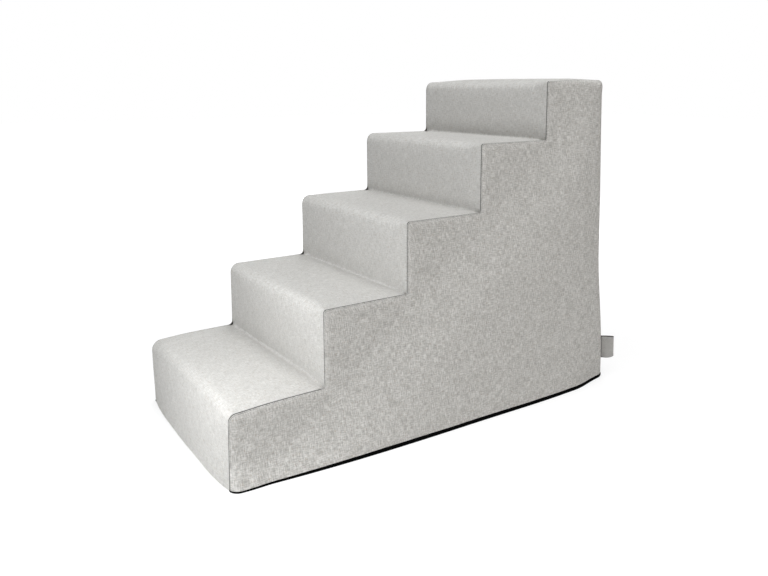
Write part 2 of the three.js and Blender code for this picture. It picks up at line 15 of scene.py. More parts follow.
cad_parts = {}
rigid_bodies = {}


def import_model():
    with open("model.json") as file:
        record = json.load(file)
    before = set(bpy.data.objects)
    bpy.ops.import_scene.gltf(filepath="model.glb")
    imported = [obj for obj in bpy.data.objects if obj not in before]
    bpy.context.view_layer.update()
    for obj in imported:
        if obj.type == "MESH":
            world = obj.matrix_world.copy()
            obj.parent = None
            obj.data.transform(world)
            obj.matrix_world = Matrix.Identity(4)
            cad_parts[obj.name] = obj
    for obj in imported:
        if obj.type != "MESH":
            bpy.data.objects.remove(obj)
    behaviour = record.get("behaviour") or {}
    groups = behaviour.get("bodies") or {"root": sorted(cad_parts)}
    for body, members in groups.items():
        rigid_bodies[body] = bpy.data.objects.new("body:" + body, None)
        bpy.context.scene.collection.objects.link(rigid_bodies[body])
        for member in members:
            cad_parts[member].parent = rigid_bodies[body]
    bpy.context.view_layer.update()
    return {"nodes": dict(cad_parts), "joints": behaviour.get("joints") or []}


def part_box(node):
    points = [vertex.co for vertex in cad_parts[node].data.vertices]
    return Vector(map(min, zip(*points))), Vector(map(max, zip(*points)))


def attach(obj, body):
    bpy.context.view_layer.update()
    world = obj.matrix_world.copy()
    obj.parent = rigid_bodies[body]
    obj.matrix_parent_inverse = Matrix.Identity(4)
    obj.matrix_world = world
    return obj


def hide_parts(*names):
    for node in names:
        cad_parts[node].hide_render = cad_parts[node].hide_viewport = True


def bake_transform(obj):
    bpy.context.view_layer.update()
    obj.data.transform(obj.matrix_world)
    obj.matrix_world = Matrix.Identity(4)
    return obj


bl_info = {
    "name": "Foam dog steps",
    "version": (1, 0, 0),
    "blender": (4, 5, 0),
    "location": "3D View > Sidebar > Dog steps",
    "description": "Dresses the frame of a set of foam dog steps in its sewn cover",
    "category": "Object",
}

for leftover in list(bpy.data.objects):
    bpy.data.objects.remove(leftover)
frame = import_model()
MM = 0.001

# ---------------------------------------------------------------- places, from the frame

STEP_COUNT = sum(name.startswith("foam_slab_") for name in frame["nodes"])
SLABS = [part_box(f"foam_slab_{number + 1}") for number in range(STEP_COUNT)]
STRIP_LOW, STRIP_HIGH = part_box("tread_strip")
FLAP_LOW, FLAP_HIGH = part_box("back_flap")
LABEL_LOW, LABEL_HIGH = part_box("side_label")
TAPE_LOW, TAPE_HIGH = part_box("zip_tape_cover")
END_TAPE_LOW, END_TAPE_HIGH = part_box("zip_tape_closing_end")
COIL_LOW, COIL_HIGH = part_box("zip_coil_cover")
END_COIL_LOW, END_COIL_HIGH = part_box("zip_coil_closing_end")
SLIDER_LOW, SLIDER_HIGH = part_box("zip_slider")
START_STOP_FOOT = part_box("zip_start_stop")[0].z
FRONT = STRIP_LOW.y
BACK = FLAP_HIGH.y
TOP = STRIP_HIGH.z
FOLD = next(j for j in frame["joints"] if j["name"] == "flap_fold")["pos_m"][2]
TREADS = [high.z + TOP - SLABS[-1][1].z for low, high in SLABS]
RISERS = [low.y + FRONT - SLABS[0][0].y for low, high in SLABS]
PITCH = math.atan2(TREADS[1] - TREADS[0], RISERS[1] - RISERS[0])
SEAM_ROLL = 12 * MM  # the radius by which a side rolls over onto the treads
SIDE = STRIP_HIGH.x + SEAM_ROLL
CORNER_ROLL = 25 * MM  # the radius of the upright corners at the back
CORNER_SEAM = math.pi / 4  # the back seam's place round its corner
CORNER_FLAT = SIDE - CORNER_ROLL
SEAM_WIDTH = CORNER_FLAT + CORNER_ROLL * CORNER_SEAM  # to the back seams, along the cloth
FABRIC = FLAP_HIGH.y - FLAP_LOW.y
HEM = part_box("side_panel_right")[0].z
CHAIN_X = -(SLIDER_LOW.x + SLIDER_HIGH.x) / 2
CHAIN_HALF = COIL_HIGH.x - CHAIN_X
CHAIN_SLIT = END_COIL_LOW.x + CHAIN_X  # from the chain's middle to the near edge of a row
CHAIN_Z = COIL_LOW.z + CHAIN_HALF
CHAIN_CORNER = 20 * MM
HEM_ROOM = 0.4 * MM  # by which the folded edges stand back further than in the frame
OPENING = CHAIN_X - FLAP_HIGH.x + HEM_ROOM  # from the chain's middle to a folded edge
TAPE_REACH = TAPE_HIGH.x - CHAIN_X
TAPE_FACE = TAPE_HIGH.y

# ---------------------------------------------------------------- shape of the cover

NOSING = 17 * MM
FOOT = 3.5 * MM  # radius at the foot of a riser
# Radii at the seams of a side: first nosing, other nosings, foot. The right side's are tighter.
SEAM_BENDS = {1: (11 * MM, 5 * MM, 2 * MM), -1: (17 * MM, 16 * MM, 8 * MM)}
SEAM_SHADES = {1: -0.2 * MM, -1: 0.5 * MM}  # by how much narrower a side's painted seam shade is
SEAM_UPRIGHT = 0.35 * MM  # and how much narrower still along the risers
BACK_TOP = 17 * MM
SLACK_REACH = 45 * MM  # from a seam, over which a nosing grows rounder
CLOTH_SPACING = 5 * MM
FILL_SPACING = 7 * MM
FILL_CLEAR = 0.6  # how near its outline a fill's points come, as a share of their spacing
FILL_CHUNK = 64  # points of an outline that are measured to at once
SAME_POINT = 1e-7
FEWEST_STATIONS = 6  # on one straight run of the seam
ARC_STEPS = 6
JOIN = 0.02 * MM  # cloth points nearer than this become one
CLOTH_CREASE = math.radians(50)  # sharper edges of a cloth are shaded sharp
# Across a seam: how far from its line, and how far below the panel's face.
SEAM_CURL = ((0.15, 3.0), (0.35, 1.7), (0.7, 0.8), (1.2, 0.3), (2.0, 0.07), (3.5, 0.0))
CURL_GAPS = np.array([0.0] + [gap * MM for gap, _ in SEAM_CURL])
CURL_DEPTHS = np.array([4 * MM] + [deep * MM for _, deep in SEAM_CURL])
STRIP_NEAR = 7 * MM  # the strip's column beyond the curl
# Across a folded hem: how far from the fold, and how far above the panel's face.
HEM_FOLD = ((0.0, -1.3), (0.3, -0.5), (0.8, 0.1), (1.6, 0.3), (2.4, -0.05), (2.8, -0.05),
            (3.8, 0.3), (10.0, 0.25), (12.0, 0.0))
HEM_GAPS = np.array([gap * MM for gap, _ in HEM_FOLD])
HEM_LIFTS = np.array([lift * MM for _, lift in HEM_FOLD])
HEM_STITCH = 2.6 * MM  # from a hem's fold to its row of stitches
# The strip's crown falls off toward its seams by a power, a higher one right of the front.
CROWN_POWER = 3
FRONT_CROWN_POWER = 5
CREASE_REACH = 14 * MM  # in from a seam, over which a riser's foot is creased
LONG_WAVE = 85 * MM
SHORT_WAVE = 31 * MM
SHORT_SHARE = 0.35  # height of the short waves against that of the long ones
SHORT_SEED = 5  # by which their seed is another
WAVE_SHIFT = (1, 3.7, 1.3)  # along X, Y and Z for each step of the seed
STRIP_WAVES = 30 * MM  # in from a seam, over which the waves come on
SIDE_WAVES = 40 * MM
FLAP_WAVES = (10 * MM, 60 * MM)
# The foam pushes the sides out: how far in all, and over what distances this grows.
BULGE = 25 * MM
BULGE_REACH = 100 * MM
BULGE_START = 15 * MM
BULGE_BACK_REACH = 65 * MM
BULGE_BACK_START = 14 * MM
BULGE_BACK_CURVE = 1.3
BULGE_UPPER_SHARE = 0.45
BULGE_FALL = 160 * MM
RIM_FRONT = 2 * MM  # the base's rim starts low at the front
RIM_RISE = 250 * MM  # and is full high this far back
RIM_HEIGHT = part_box("base_panel")[1].z
HEM_GAP = HEM - RIM_HEIGHT
EASE = 30 * MM  # height above the hem over which the cloth makes up for the low rim
STRIP_FOOT = 0.4 * MM  # height of the strip's lower edge
STRIP_END = 0.5 * MM  # the strip's last station lies this far or more above its curled end
ON_BACK = 0.01 * MM  # a station nearer the back than this is on it
BORDER_COLUMNS = 5  # rows of faces across the flat part of the border

# ---------------------------------------------------------------- where the cover gives

# A pair holds the two distances between which a change comes on or ends.
FLARE_FALL = 60 * MM  # height over which the sides' flare lessens
FLARE_FRONT = (-10 * MM, 35 * MM)  # back from the front, where it begins
FLARE_BACK = (106 * MM, 31 * MM)  # forward of the back, where it ends
FLARE_GROWTH = 0.6  # how much more of it there is toward the back
FLARE_GROWS = (20 * MM, 250 * MM)  # back from the middle
SPREAD_SIDE = (50 * MM, 2 * MM)  # in from a side, where it spreads
SPREAD_BACK = (130 * MM, 15 * MM)  # forward of the back, where the sides spread
PUSH_BACK = (60 * MM, 4 * MM)  # and where the back itself is pushed
SPREAD_HEIGHT = (50 * MM, 260 * MM)  # heights between which the foot's spread ends
TAPER_HEIGHT = (250 * MM, 560 * MM)  # and the top's taper begins
TAPER_PUSH = 1.5  # how much more the back is drawn in at the top than the sides
SKEW_REACH = 60 * MM  # how far back the front's skew goes
SKEW_FALL = 60 * MM  # and the height over which it lessens
DROOP_REACH = 45 * MM  # how far back the first tread's corners droop
DROOP_WIDTH = 40 * MM  # and how far in from the sides
DROOP_TOP = 8 * MM  # above the first tread nothing droops past this
RIGHT_END = (70 * MM, 10 * MM)  # in from the right side, where the first tread sags
SAG_BELOW = (60 * MM, 4 * MM)  # below that tread, where its sag begins
SAG_ABOVE = (2 * MM, 60 * MM)  # above it, where the sag ends
SAG_BEHIND = 30 * MM  # and past the second riser
LIFT_WIDTH = (60 * MM, 170 * MM)  # out from the middle, where the top lifts
LIFT_REACH = 60 * MM  # down from the top and forward of the back, to where it is whole
TUCK_REACH = 80 * MM  # how far below the steps the sides are drawn in
TUCK_FOOT = 40 * MM  # height over which this begins
TUCK_BACK = (130 * MM, 40 * MM)  # forward of the back, where it ends
TOE_FALL = 40 * MM  # height over which the front right corner's toe lessens

# ---------------------------------------------------------------- trim

# The base from under the foam to the top of its rim: inset, height, and share of the rim.
BASE_PROFILE = (
    (14 * MM, 0.8 * MM, 0.0),
    (5 * MM, 0.6 * MM, 0.0),
    (1.2 * MM, 0.1 * MM, 0.0),
    (0.0, 0.1 * MM, 0.0),
    (-0.7 * MM, 0.5 * MM, 0.15),
    (-0.9 * MM, 1.0 * MM, 0.6),
    (-0.5 * MM, 1.2 * MM, 1.0),
    (2.3 * MM, 1.2 * MM, 1.0),
    (2.6 * MM, 4.6 * MM, 1.0),
)
BASE_COUNTS = (24, 90, 24)  # points along half the front, a side and half the back
BASE_LEVEL = 0.6 * MM
BASE_FELT = 0.55 * MM
BASE_SPACING = 4 * FILL_SPACING
BASE_TUCKED = 2 * MM  # an inset below this is drawn in under the strip
DOT_MARGIN = 30 * MM  # by which the field of dots is wider than the steps, to be cut back
FRAME_JOIN = 0.002 * MM  # points of a frame node's mesh nearer than this become one
FOAM_SPACING = 25 * MM
FOAM_FLAT = math.radians(0.05)  # facets that meet at less than this become one
FOAM_CHAMFER = 1.3 * MM  # at the slabs' cut edges
FOAM_CORNER = math.radians(60)  # edges sharper than this are cut ones
FOAM_EASE = 3 * MM  # by which the foam is drawn in under the cover's creases
LABEL_REACH = 25.5 * MM
LABEL_RISE = 4 * MM  # by which the soft label stands higher than its plain solid
LABEL_HALF = 2 * MM  # half the distance between the label's two layers
LABEL_TUCK = 1.5 * MM
LABEL_THICK = 0.45 * MM
LABEL_SHADE = 3.2 * MM  # width of the painted shade at its root, where it goes into the seam
LABEL_EDGE_SHADES = (1.6, 3)  # how much narrower the painted shade is at its upper and lower edge
LABEL_BOW = 1.5 * MM  # by which it bows aside at the middle of its end
LABEL_CURL = 3.5 * MM  # by which its outer lower corner curls up
LABEL_PINCH = 0.75  # how far its two layers close up at the root
LABEL_PINCHED = 7 * MM  # and how far out they are pinched
LABEL_POINTS = (12, 9, 16)  # along a layer, round the loop's end, and over its height
LINEN_PITCH = 0.9 * MM  # of its threads
LINEN_DEPTH = 0.35 * MM
TAPE_HOLLOW_SHADE = 0.45  # how much darker painted shade makes a tape's threads in their hollows
TAPE_COLUMNS = 5
SEAM_LINE = 0.3 * MM  # between pieces of the zip that part when it opens
COIL_MESH = 0.3 * MM  # the two rows' hooks end this near the middle of the chain
METAL_EDGE = 0.15 * MM
METAL_FLAT = math.radians(2)
METAL_CORNER = math.radians(35)  # edges sharper than this are rounded
METAL_SHARP = math.radians(32)
STITCH_SHARE = 0.75  # length of a stitch against its pitch
STITCH_END = 2 * MM  # how far below the fold the rows of stitches end

# ---------------------------------------------------------------- sizes and colours to change


def length(name, description, default):
    """A size in the sidebar."""
    return bpy.props.FloatProperty(
        name=name, description=description, default=default, unit="LENGTH"
    )


def tone(name, description, default):
    """A colour in the sidebar."""
    return bpy.props.FloatVectorProperty(
        name=name, description=description, default=default, subtype="COLOR"
    )


class CoverSizes(bpy.types.PropertyGroup):
    front_crown: length(
        "Front crown", "How far the middle of the front riser stands out", 7.5 * MM
    )
    riser_crown: length(
        "Riser crown", "How far the middle of each other riser stands out", 2 * MM
    )
    tread_crown: length("Tread crown", "How far the middle of each tread stands up", 3 * MM)
    top_crown: length("Top crown", "How far the middle of the top stands up", 6 * MM)
    back_bulge: length(
        "Back bulge", "How far the foam pushes out the middle of the back flap", 3 * MM
    )
    side_tuck: length(
        "Side tuck", "How far the sides are drawn in along the steps", 8.5 * MM
    )
    flare: length(
        "Flare", "How far the sides spread out at the floor, beyond their bulge", 6 * MM
    )
    foot_spread: length(
        "Foot spread", "How far the back corners spread out near the floor", 7.4 * MM
    )
    top_taper: length("Top taper", "How far the back corners draw in at the top", 2 * MM)
    top_lift: length(
        "Top lift", "How far the back of the top stands up near its seams", 3 * MM
    )
    front_skew: length(
        "Front skew", "How far the foot of the front lies askew at its ends", -4 * MM
    )
    tread_sag: length("Tread sag", "How far the right end of the first tread sags", 4 * MM)
    toe: length("Toe", "How far the front right corner turns out at the floor", 4 * MM)
    corner_droop: length(
        "Corner droop", "How far the front corners of the first tread hang down", 4 * MM
    )
    crease: length(
        "Corner crease", "Depth of the crease at each end of a riser's foot", 4.5 * MM
    )
    waviness: length("Waviness", "Height of the soft waves in the cloth", 0.8 * MM)
    light_yarn: tone("Light yarn", "Colour of the cloth's light yarns", (0.72, 0.71, 0.685))
    dark_yarn: tone("Dark yarn", "Colour of the cloth's dark yarns", (0.4, 0.39, 0.37))
    fleck: tone("Fleck", "Colour of the small warm flecks in the cloth", (0.42, 0.36, 0.3))


class TrimSizes(bpy.types.PropertyGroup):
    dot_pitch: length("Dot pitch", "Distance between the rubber dots under the base", 11 * MM)
    dot_radius: length("Dot radius", "Radius of a rubber dot", 2 * MM)
    tooth_pitch: length(
        "Tooth pitch", "Distance between the turns of one row of the zip's coil", 1.9 * MM
    )
    coil_wire: length("Coil wire", "Thickness of the zip's coil wire", 0.85 * MM)
    stitch_pitch: length("Stitch pitch", "Distance between stitches", 3.6 * MM)
    thread: length("Thread", "Thickness of the sewing thread", 0.7 * MM)
    foam_colour: tone("Foam", "Colour of the foam core", (0.85, 0.77, 0.59))
    base_colour: tone("Base", "Colour of the non-slip base", (0.003, 0.003, 0.003))
    label_colour: tone("Label", "Colour of the loop label", (0.53, 0.52, 0.5))
    zip_colour: tone("Zip", "Colour of the zip's tapes, coil and metal", (0.016, 0.016, 0.018))
    thread_colour: tone("Sewing thread", "Colour of the sewing thread", (0.5, 0.49, 0.47))


# ---------------------------------------------------------------- paths over the cover


def smooth_step(value, low, high):
    t = np.clip((value - low) / (high - low), 0, 1)
    return t * t * (3 - 2 * t)


def side_outline(inset, back_inset, nosings, foot):
    """Corners (y, z, radius) of the steps seen from the side, drawn in by an inset."""
    corners = [(FRONT + inset, HEM, 0)]
    for step in range(STEP_COUNT):
        radius = max(nosings[step] - inset, MM)
        corners.append((RISERS[step] + inset, TREADS[step] - inset, radius))
        if step + 1 < STEP_COUNT:
            corners.append((RISERS[step + 1] + inset, TREADS[step] - inset, foot + inset))
    corners.append((BACK - back_inset, TOP - inset, max(BACK_TOP - inset, MM)))
    return [*corners, (BACK - back_inset, HEM, 0)]


def walk(corners, counts):
    """Points and outward normals along rounded corners, with a set number on each straight."""
    at = [Vector(corner[:2]) for corner in corners]
    places, outs = [], []
    for run, count in enumerate(counts):
        heading = (at[run + 1] - at[run]).normalized()
        start = at[run] + heading * corners[run][2]
        end = at[run + 1] - heading * corners[run + 1][2]
        last = run + 1 == len(counts)
        for i in range(1 if run else 0, count + last):
            places.append(start.lerp(end, i / count))
            outs.append(Vector((-heading.y, heading.x)))
        if last:
            break
        onward = (at[run + 2] - at[run + 1]).normalized()
        turn = 1 if heading.x * onward.y - heading.y * onward.x < 0 else -1
        radius = corners[run + 1][2]
        for i in range(ARC_STEPS + 1):
            angle = math.pi / 2 * i / ARC_STEPS
            spoke = heading * math.sin(angle) - onward * math.cos(angle)
            places.append(end + onward * radius + spoke * radius)
            outs.append(spoke * turn)
    return np.array(places), np.array(outs)


class Edge:
    """Stations along the seam between the tread strip and a side, from foot to foot.

    In the plane of Y and Z, tight is the outline at the seam and full the one in the middle of
    the strip, out and full_out are their outward normals, and inner is where a side's roll
    ends. along is the mean distance from the front's foot, crown how far the strip's middle
    stands out, foot how near a station is to the foot of a riser, and upright how much
    narrower the painted shade along the seam is there.
    """

    def __init__(self, sizes, side):
        first, others, foot = SEAM_BENDS[side]
        nosings = [first] + [others] * (STEP_COUNT - 1)
        bare = side_outline(0, 0, [0] * STEP_COUNT, 0)
        lengths = [math.dist(a[:2], b[:2]) for a, b in zip(bare, bare[1:])]
        counts = [max(FEWEST_STATIONS, round(run / CLOTH_SPACING)) for run in lengths]
        self.tight, self.out = walk(side_outline(0, 0, nosings, foot), counts)
        full = [NOSING] * STEP_COUNT
        self.full, self.full_out = walk(side_outline(0, 0, full, FOOT), counts)
        self.inner, _ = walk(side_outline(SEAM_ROLL, CORNER_ROLL, nosings, foot), counts)
        steps = [np.linalg.norm(np.diff(path, axis=0), axis=1) for path in (self.tight, self.full)]
        self.along = np.concatenate([[0], np.cumsum(np.mean(steps, 0))])
        self.crown, self.foot = self.swell(sizes, counts)
        self.upright = SEAM_UPRIGHT * (1 - np.abs(self.out[:, 1]))
        self.shape_roll()

    @staticmethod
    def swell(sizes, counts):
        """The crown along each straight run, and the pinch in the foot of each riser."""
        crown, foot = [], []
        for run, count in enumerate(counts):
            last = run + 1 == len(counts)
            t = np.arange(1 if run else 0, count + last) / count
            arch, hill = 1 - (2 * t - 1) ** 4, 1 - (2 * t - 1) ** 2
            if run == 0:
                crown += list(sizes.front_crown * (1 - t**3))
            elif last:
                crown += [0.0] * len(t)
            elif run == len(counts) - 2:
                crown += list(sizes.top_crown * arch)
            else:
                crown += list(sizes.tread_crown * hill if run % 2 else sizes.riser_crown * arch)
            foot += [0.0] * len(t)
            if not last:
                crown += [0.0] * (ARC_STEPS + 1)
                turns_up = run % 2 == 1 and run < len(counts) - 2
                pinch = 1 - np.abs(np.linspace(-1, 1, ARC_STEPS + 1)) / 2
                foot += list(pinch * turns_up)
        return np.array(crown), np.array(foot)

    def shape_roll(self):
        """The seam lies a roll in from the side, and slips to the middle of the back corner."""
        level = 0.99  # the Z of the outward normal, above which the top still counts as level
        turned = (self.tight[:, 0] > BACK - BACK_TOP) & (self.out[:, 1] < level)
        begin = self.along[np.argmax(turned)]
        fold = self.along[np.argmax(turned & (self.tight[:, 1] <= FOLD))]
        share = smooth_step(self.along, begin, fold)
        self.roll = SEAM_ROLL + (CORNER_ROLL - SEAM_ROLL) * share
        self.seam = CORNER_SEAM * share

    def half_width(self, station):
        """From the middle of the strip to its seam, along the cloth."""
        return SIDE - self.roll[station] + self.roll[station] * self.seam[station]

    def side_width(self, station):
        """From the seam to where the side is upright, along the cloth."""
        return self.roll[station] * (math.pi / 2 - self.seam[station])

    def face(self, station, across):
        """Points and normals at distances across the cover from its middle, round the roll."""
        roll = self.roll[station]
        flat = np.minimum(across, SIDE - roll)
        angle = (across - flat) / roll
        slack = smooth_step(self.half_width(station) - across, 0, SLACK_REACH)[..., None]
        place = self.tight[station] * (1 - slack) + self.full[station] * slack
        out = self.out[station] * (1 - slack) + self.full_out[station] * slack
        out /= np.linalg.norm(out, axis=-1, keepdims=True)
        place -= (place - self.inner[station]) * (1 - np.cos(angle))[..., None]
        x = flat + roll * np.sin(angle)
        normal = np.stack([np.sin(angle), *(np.cos(angle) * out.T)], -1)
        return np.stack([x, place[..., 0], place[..., 1]], -1), normal


def back_face(width, height):
    """Points and normals on the back, at a distance along the cloth from its middle."""
    flat = np.clip(width, -CORNER_FLAT, CORNER_FLAT)
    angle = (width - flat) / CORNER_ROLL
    x = flat + CORNER_ROLL * np.sin(angle)
    y = BACK - CORNER_ROLL * (1 - np.cos(angle))
    normal = np.stack([np.sin(angle), np.cos(angle), np.zeros_like(angle)], -1)
    return np.stack([x, y, height], -1), normal


def steps_depth(y, z):
    """How far a place on a side is below the line along the feet of the risers."""
    below = (y - FRONT) * math.sin(PITCH) - z * math.cos(PITCH) - SEAM_ROLL
    return np.clip(np.minimum(below, TOP - SEAM_ROLL - z), 0, None)


def bulge(y, z):
    """How far the foam pushes a side out at a place on it, which is nothing along the treads."""
    deep = steps_depth(y, z)
    deep = deep**2 / (deep + BULGE_START)
    from_back = np.clip(BACK - y + BULGE_BACK_START, 0, None) / BULGE_BACK_REACH
    growth = (1 - np.exp(-deep / BULGE_REACH)) * (1 - np.exp(-(from_back**BULGE_BACK_CURVE)))
    upper = BULGE_UPPER_SHARE + (1 - BULGE_UPPER_SHARE) * np.exp(-z / BULGE_FALL)
    return BULGE * growth * upper


def flare(y, z):
    """How much of the sides' flare there is at a place on a side."""
    along = smooth_step(y, FRONT + FLARE_FRONT[0], FRONT + FLARE_FRONT[1])
    along = along * (1 - smooth_step(y, BACK - FLARE_BACK[0], BACK - FLARE_BACK[1]))
    growth = 1 + FLARE_GROWTH * smooth_step(y, *FLARE_GROWS)
    return along * growth * np.exp(-z / FLARE_FALL)


def rim_top(y):
    """Height of the base's rim along a side."""
    return RIM_FRONT + (RIM_HEIGHT - RIM_FRONT) * smooth_step(y, FRONT, FRONT + RIM_RISE)


def within(distance, edge, span):
    """How far a distance has come between two places that lie short of an edge."""
    return smooth_step(distance, edge - span[0], edge - span[1])


def sagged(sizes, points):
    """Points of the cover or the foam once its corners and edges have given a little."""
    x, y, z = np.asarray(points, float).T.copy()
    out = np.abs(x)
    tread, past_riser = TREADS[0], RISERS[1] + SAG_BEHIND
    # The back corners spread at the foot and draw in at the top, and the front lies askew.
    low = sizes.foot_spread * (1 - smooth_step(z, *SPREAD_HEIGHT))
    high = sizes.top_taper * smooth_step(z, *TAPER_HEIGHT)
    column = smooth_step(out, CHAIN_X + OPENING, SIDE)
    push = within(y, BACK, PUSH_BACK) * column * (low - TAPER_PUSH * high)
    at_front = 1 - smooth_step(y, FRONT, FRONT + SKEW_REACH)
    push += at_front * sizes.front_skew * x / SIDE * np.exp(-z / SKEW_FALL)
    # The first tread hangs down at its corners, and more at its right end.
    droop = sizes.corner_droop * np.exp(-(((y - FRONT) / DROOP_REACH) ** 2))
    droop = droop * np.exp(-((SIDE - out) / DROOP_WIDTH)) * smooth_step(z, 0, tread)
    right_end = within(x, SIDE, RIGHT_END)
    sag = sizes.tread_sag * right_end * within(z, tread, SAG_BELOW)
    sag = sag * (1 - smooth_step(y, RISERS[1], past_riser))
    sag = sag * (1 - smooth_step(z, tread + SAG_ABOVE[0], tread + SAG_ABOVE[1]))
    droop = droop * (z < tread + DROOP_TOP) + sag
    # The top stands up at its back corners.
    lift = sizes.top_lift * smooth_step(out, *LIFT_WIDTH)
    lift = lift * smooth_step(z, TOP - LIFT_REACH, TOP)
    lift = lift * smooth_step(y, RISERS[-1], BACK - LIFT_REACH)
    # The sides are drawn in along the steps and spread at the back.
    spread = within(out, SIDE, SPREAD_SIDE) * within(y, BACK, SPREAD_BACK) * (low - high)
    tight = np.exp(-((steps_depth(y, z) / TUCK_REACH) ** 2)) * smooth_step(z, 0, TUCK_FOOT)
    tight = tight * (1 - within(y, BACK, TUCK_BACK))
    outer = np.clip((out - STRIP_HIGH.x) / SEAM_ROLL, 0, 1)
    toe = sizes.toe * right_end * at_front * np.exp(-z / TOE_FALL)
    x = x + np.sign(x) * (spread - sizes.side_tuck * tight * outer) + toe
    return np.stack([x, y + push, z - droop + lift], -1)


def settled(sizes, points, foot=None):
    """Where points of the plain cover lie once the foam has pushed it into shape.

    foot is the height of the cloth's lower edge, which otherwise follows the base's rim.
    """
    x, y, z = np.asarray(points, float).T
    wide = within(np.abs(x), SIDE, SPREAD_SIDE)
    lower = HEM - (rim_top(y) + HEM_GAP if foot is None else foot)
    place = sagged(sizes, points)
    place[:, 0] += np.sign(x) * wide * (bulge(y, z) + sizes.flare * flare(y, z))
    place[:, 2] -= lower * (1 - smooth_step(z, HEM, HEM + EASE))
    return place


# ---------------------------------------------------------------- cloth panels


def waves(points, size, height, seed):
    """Soft waves in cloth: a height for each point."""
    shift = Vector([part * seed for part in WAVE_SHIFT])
    return np.array([noise.noise(Vector(p) / size + shift) * height for p in points])


def rumple(points, sizes, seed):
    """Long soft waves with shorter ones over them."""
    long_waves = waves(points, LONG_WAVE, sizes.waviness, seed)
    height = SHORT_SHARE * sizes.waviness
    return long_waves + waves(points, SHORT_WAVE, height, seed + SHORT_SEED)


def curl(distance):
    """How far a panel's face lies below itself, at a distance from its seam."""
    return np.interp(distance, CURL_GAPS, CURL_DEPTHS)


def hem_lift(distance):
    """How far a folded hem lies above its panel's face, at a distance from its fold."""
    return np.interp(distance, HEM_GAPS, HEM_LIFTS)


def spread_out(length, spacing, first=CURL_GAPS, last=CURL_GAPS):
    """Distances along a length, evenly spaced but for those set at its two ends."""
    inner = length - first[-1] - last[-1]
    count = max(2, round(inner / spacing))
    middle = first[-1] + np.arange(1, count) / count * inner
    return np.concatenate([first, middle, length - last[::-1]])


def grid_faces(rows, columns):
    """Quads between the points of a grid, numbered row by row."""
    first = np.arange(rows - 1)[:, None] * columns + np.arange(columns - 1)
    first = first.ravel()
    return np.stack([first, first + 1, first + columns + 1, first + columns], -1).tolist()


def inside(points, outline):
    """Which points lie in a closed outline."""
    found = np.zeros(len(points), bool)
    for a, b in zip(outline, np.roll(outline, -1, 0)):
        crosses = (a[1] > points[:, 1]) != (b[1] > points[:, 1])
        if a[1] != b[1]:
            at = a[0] + (points[:, 1] - a[1]) * (b[0] - a[0]) / (b[1] - a[1])
            found ^= crosses & (points[:, 0] < at)
    return found


def nearest(points, line):
    """Each point's distance to the nearest point of a line."""
    found = np.full(len(points), np.inf)
    for chunk in np.array_split(line, max(1, len(line) // FILL_CHUNK)):
        gaps = np.linalg.norm(points[:, None] - chunk[None], axis=2)
        found = np.minimum(found, gaps.min(1))
    return found


def filled(outline, spacing):
    """Points and triangles that fill a closed outline, the outline's own points first."""
    low, high = outline.min(0), outline.max(0)
    row = spacing * math.sqrt(3) / 2
    rows = np.arange(low[1], high[1], row)
    points = [
        (x + (i % 2) * spacing / 2, z)
        for i, z in enumerate(rows)
        for x in np.arange(low[0], high[0], spacing)
    ]
    points = np.array(points)
    points = points[inside(points, outline)]
    points = points[nearest(points, outline) > FILL_CLEAR * spacing]
    every = np.concatenate([outline, points])
    ring = [(i, (i + 1) % len(outline)) for i in range(len(outline))]
    only_inside = 1
    corners = [Vector(p) for p in every]
    made = geometry.delaunay_2d_cdt(corners, ring, [], only_inside, SAME_POINT)
    return np.array([tuple(v) for v in made[0]]), [list(face) for face in made[2]]


def linked(name, data):
    piece = bpy.data.objects.new(name, data)
    bpy.context.scene.collection.objects.link(piece)
    return piece


def cloth(name, points, faces, flat, seam=None, thickness=FABRIC, outwards=(0, 0, 0.2)):
    """A panel of cloth: its face, given a thickness inwards.

    flat is where each point lies on the flat cloth, seam its distance from a seam, and
    outwards a point inside the object, from which the panel's face looks away.
    """
    mesh = bpy.data.meshes.new(name)
    mesh.from_pydata([tuple(p) for p in points], [], faces)
    layer = mesh.uv_layers.new(name="cloth")
    corners = np.zeros(len(mesh.loops), np.int32)
    mesh.loops.foreach_get("vertex_index", corners)
    layer.data.foreach_set("uv", np.asarray(flat, np.float32)[corners].ravel())
    near = mesh.attributes.new("seam", "FLOAT", "POINT")
    seam = np.ones(len(points)) if seam is None else seam
    near.data.foreach_set("value", np.asarray(seam, np.float32))
    work = bmesh.new()
    work.from_mesh(mesh)
    bmesh.ops.remove_doubles(work, verts=work.verts, dist=JOIN)
    bmesh.ops.recalc_face_normals(work, faces=work.faces)
    work.to_mesh(mesh)
    work.free()
    middle = Vector(outwards)
    if sum(f.area * (f.center - middle).dot(f.normal) for f in mesh.polygons) < 0:
        mesh.flip_normals()
    mesh.shade_smooth()
    panel = linked(name, mesh)
    solid = panel.modifiers.new("thickness", "SOLIDIFY")
    solid.thickness = thickness
    solid.offset = -1
    settle(panel)
    panel.data.set_sharp_from_angle(angle=CLOTH_CREASE)
    return panel


def settle(piece):
    """Puts a piece's modifiers into its mesh."""
    bpy.context.view_layer.update()
    graph = bpy.context.evaluated_depsgraph_get()
    made = bpy.data.meshes.new_from_object(piece.evaluated_get(graph))
    piece.modifiers.clear()
    piece.data = made
    return piece


def dress(piece, body, slot, material, *nodes):
    """Gives a piece its material and its body, and hides the frame's nodes that it stands for."""
    piece.data.materials.clear()
    piece.data.materials.append(material)
    if body:
        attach(piece, body)
    if nodes:
        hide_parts(*nodes)
    return piece


# ---------------------------------------------------------------- materials


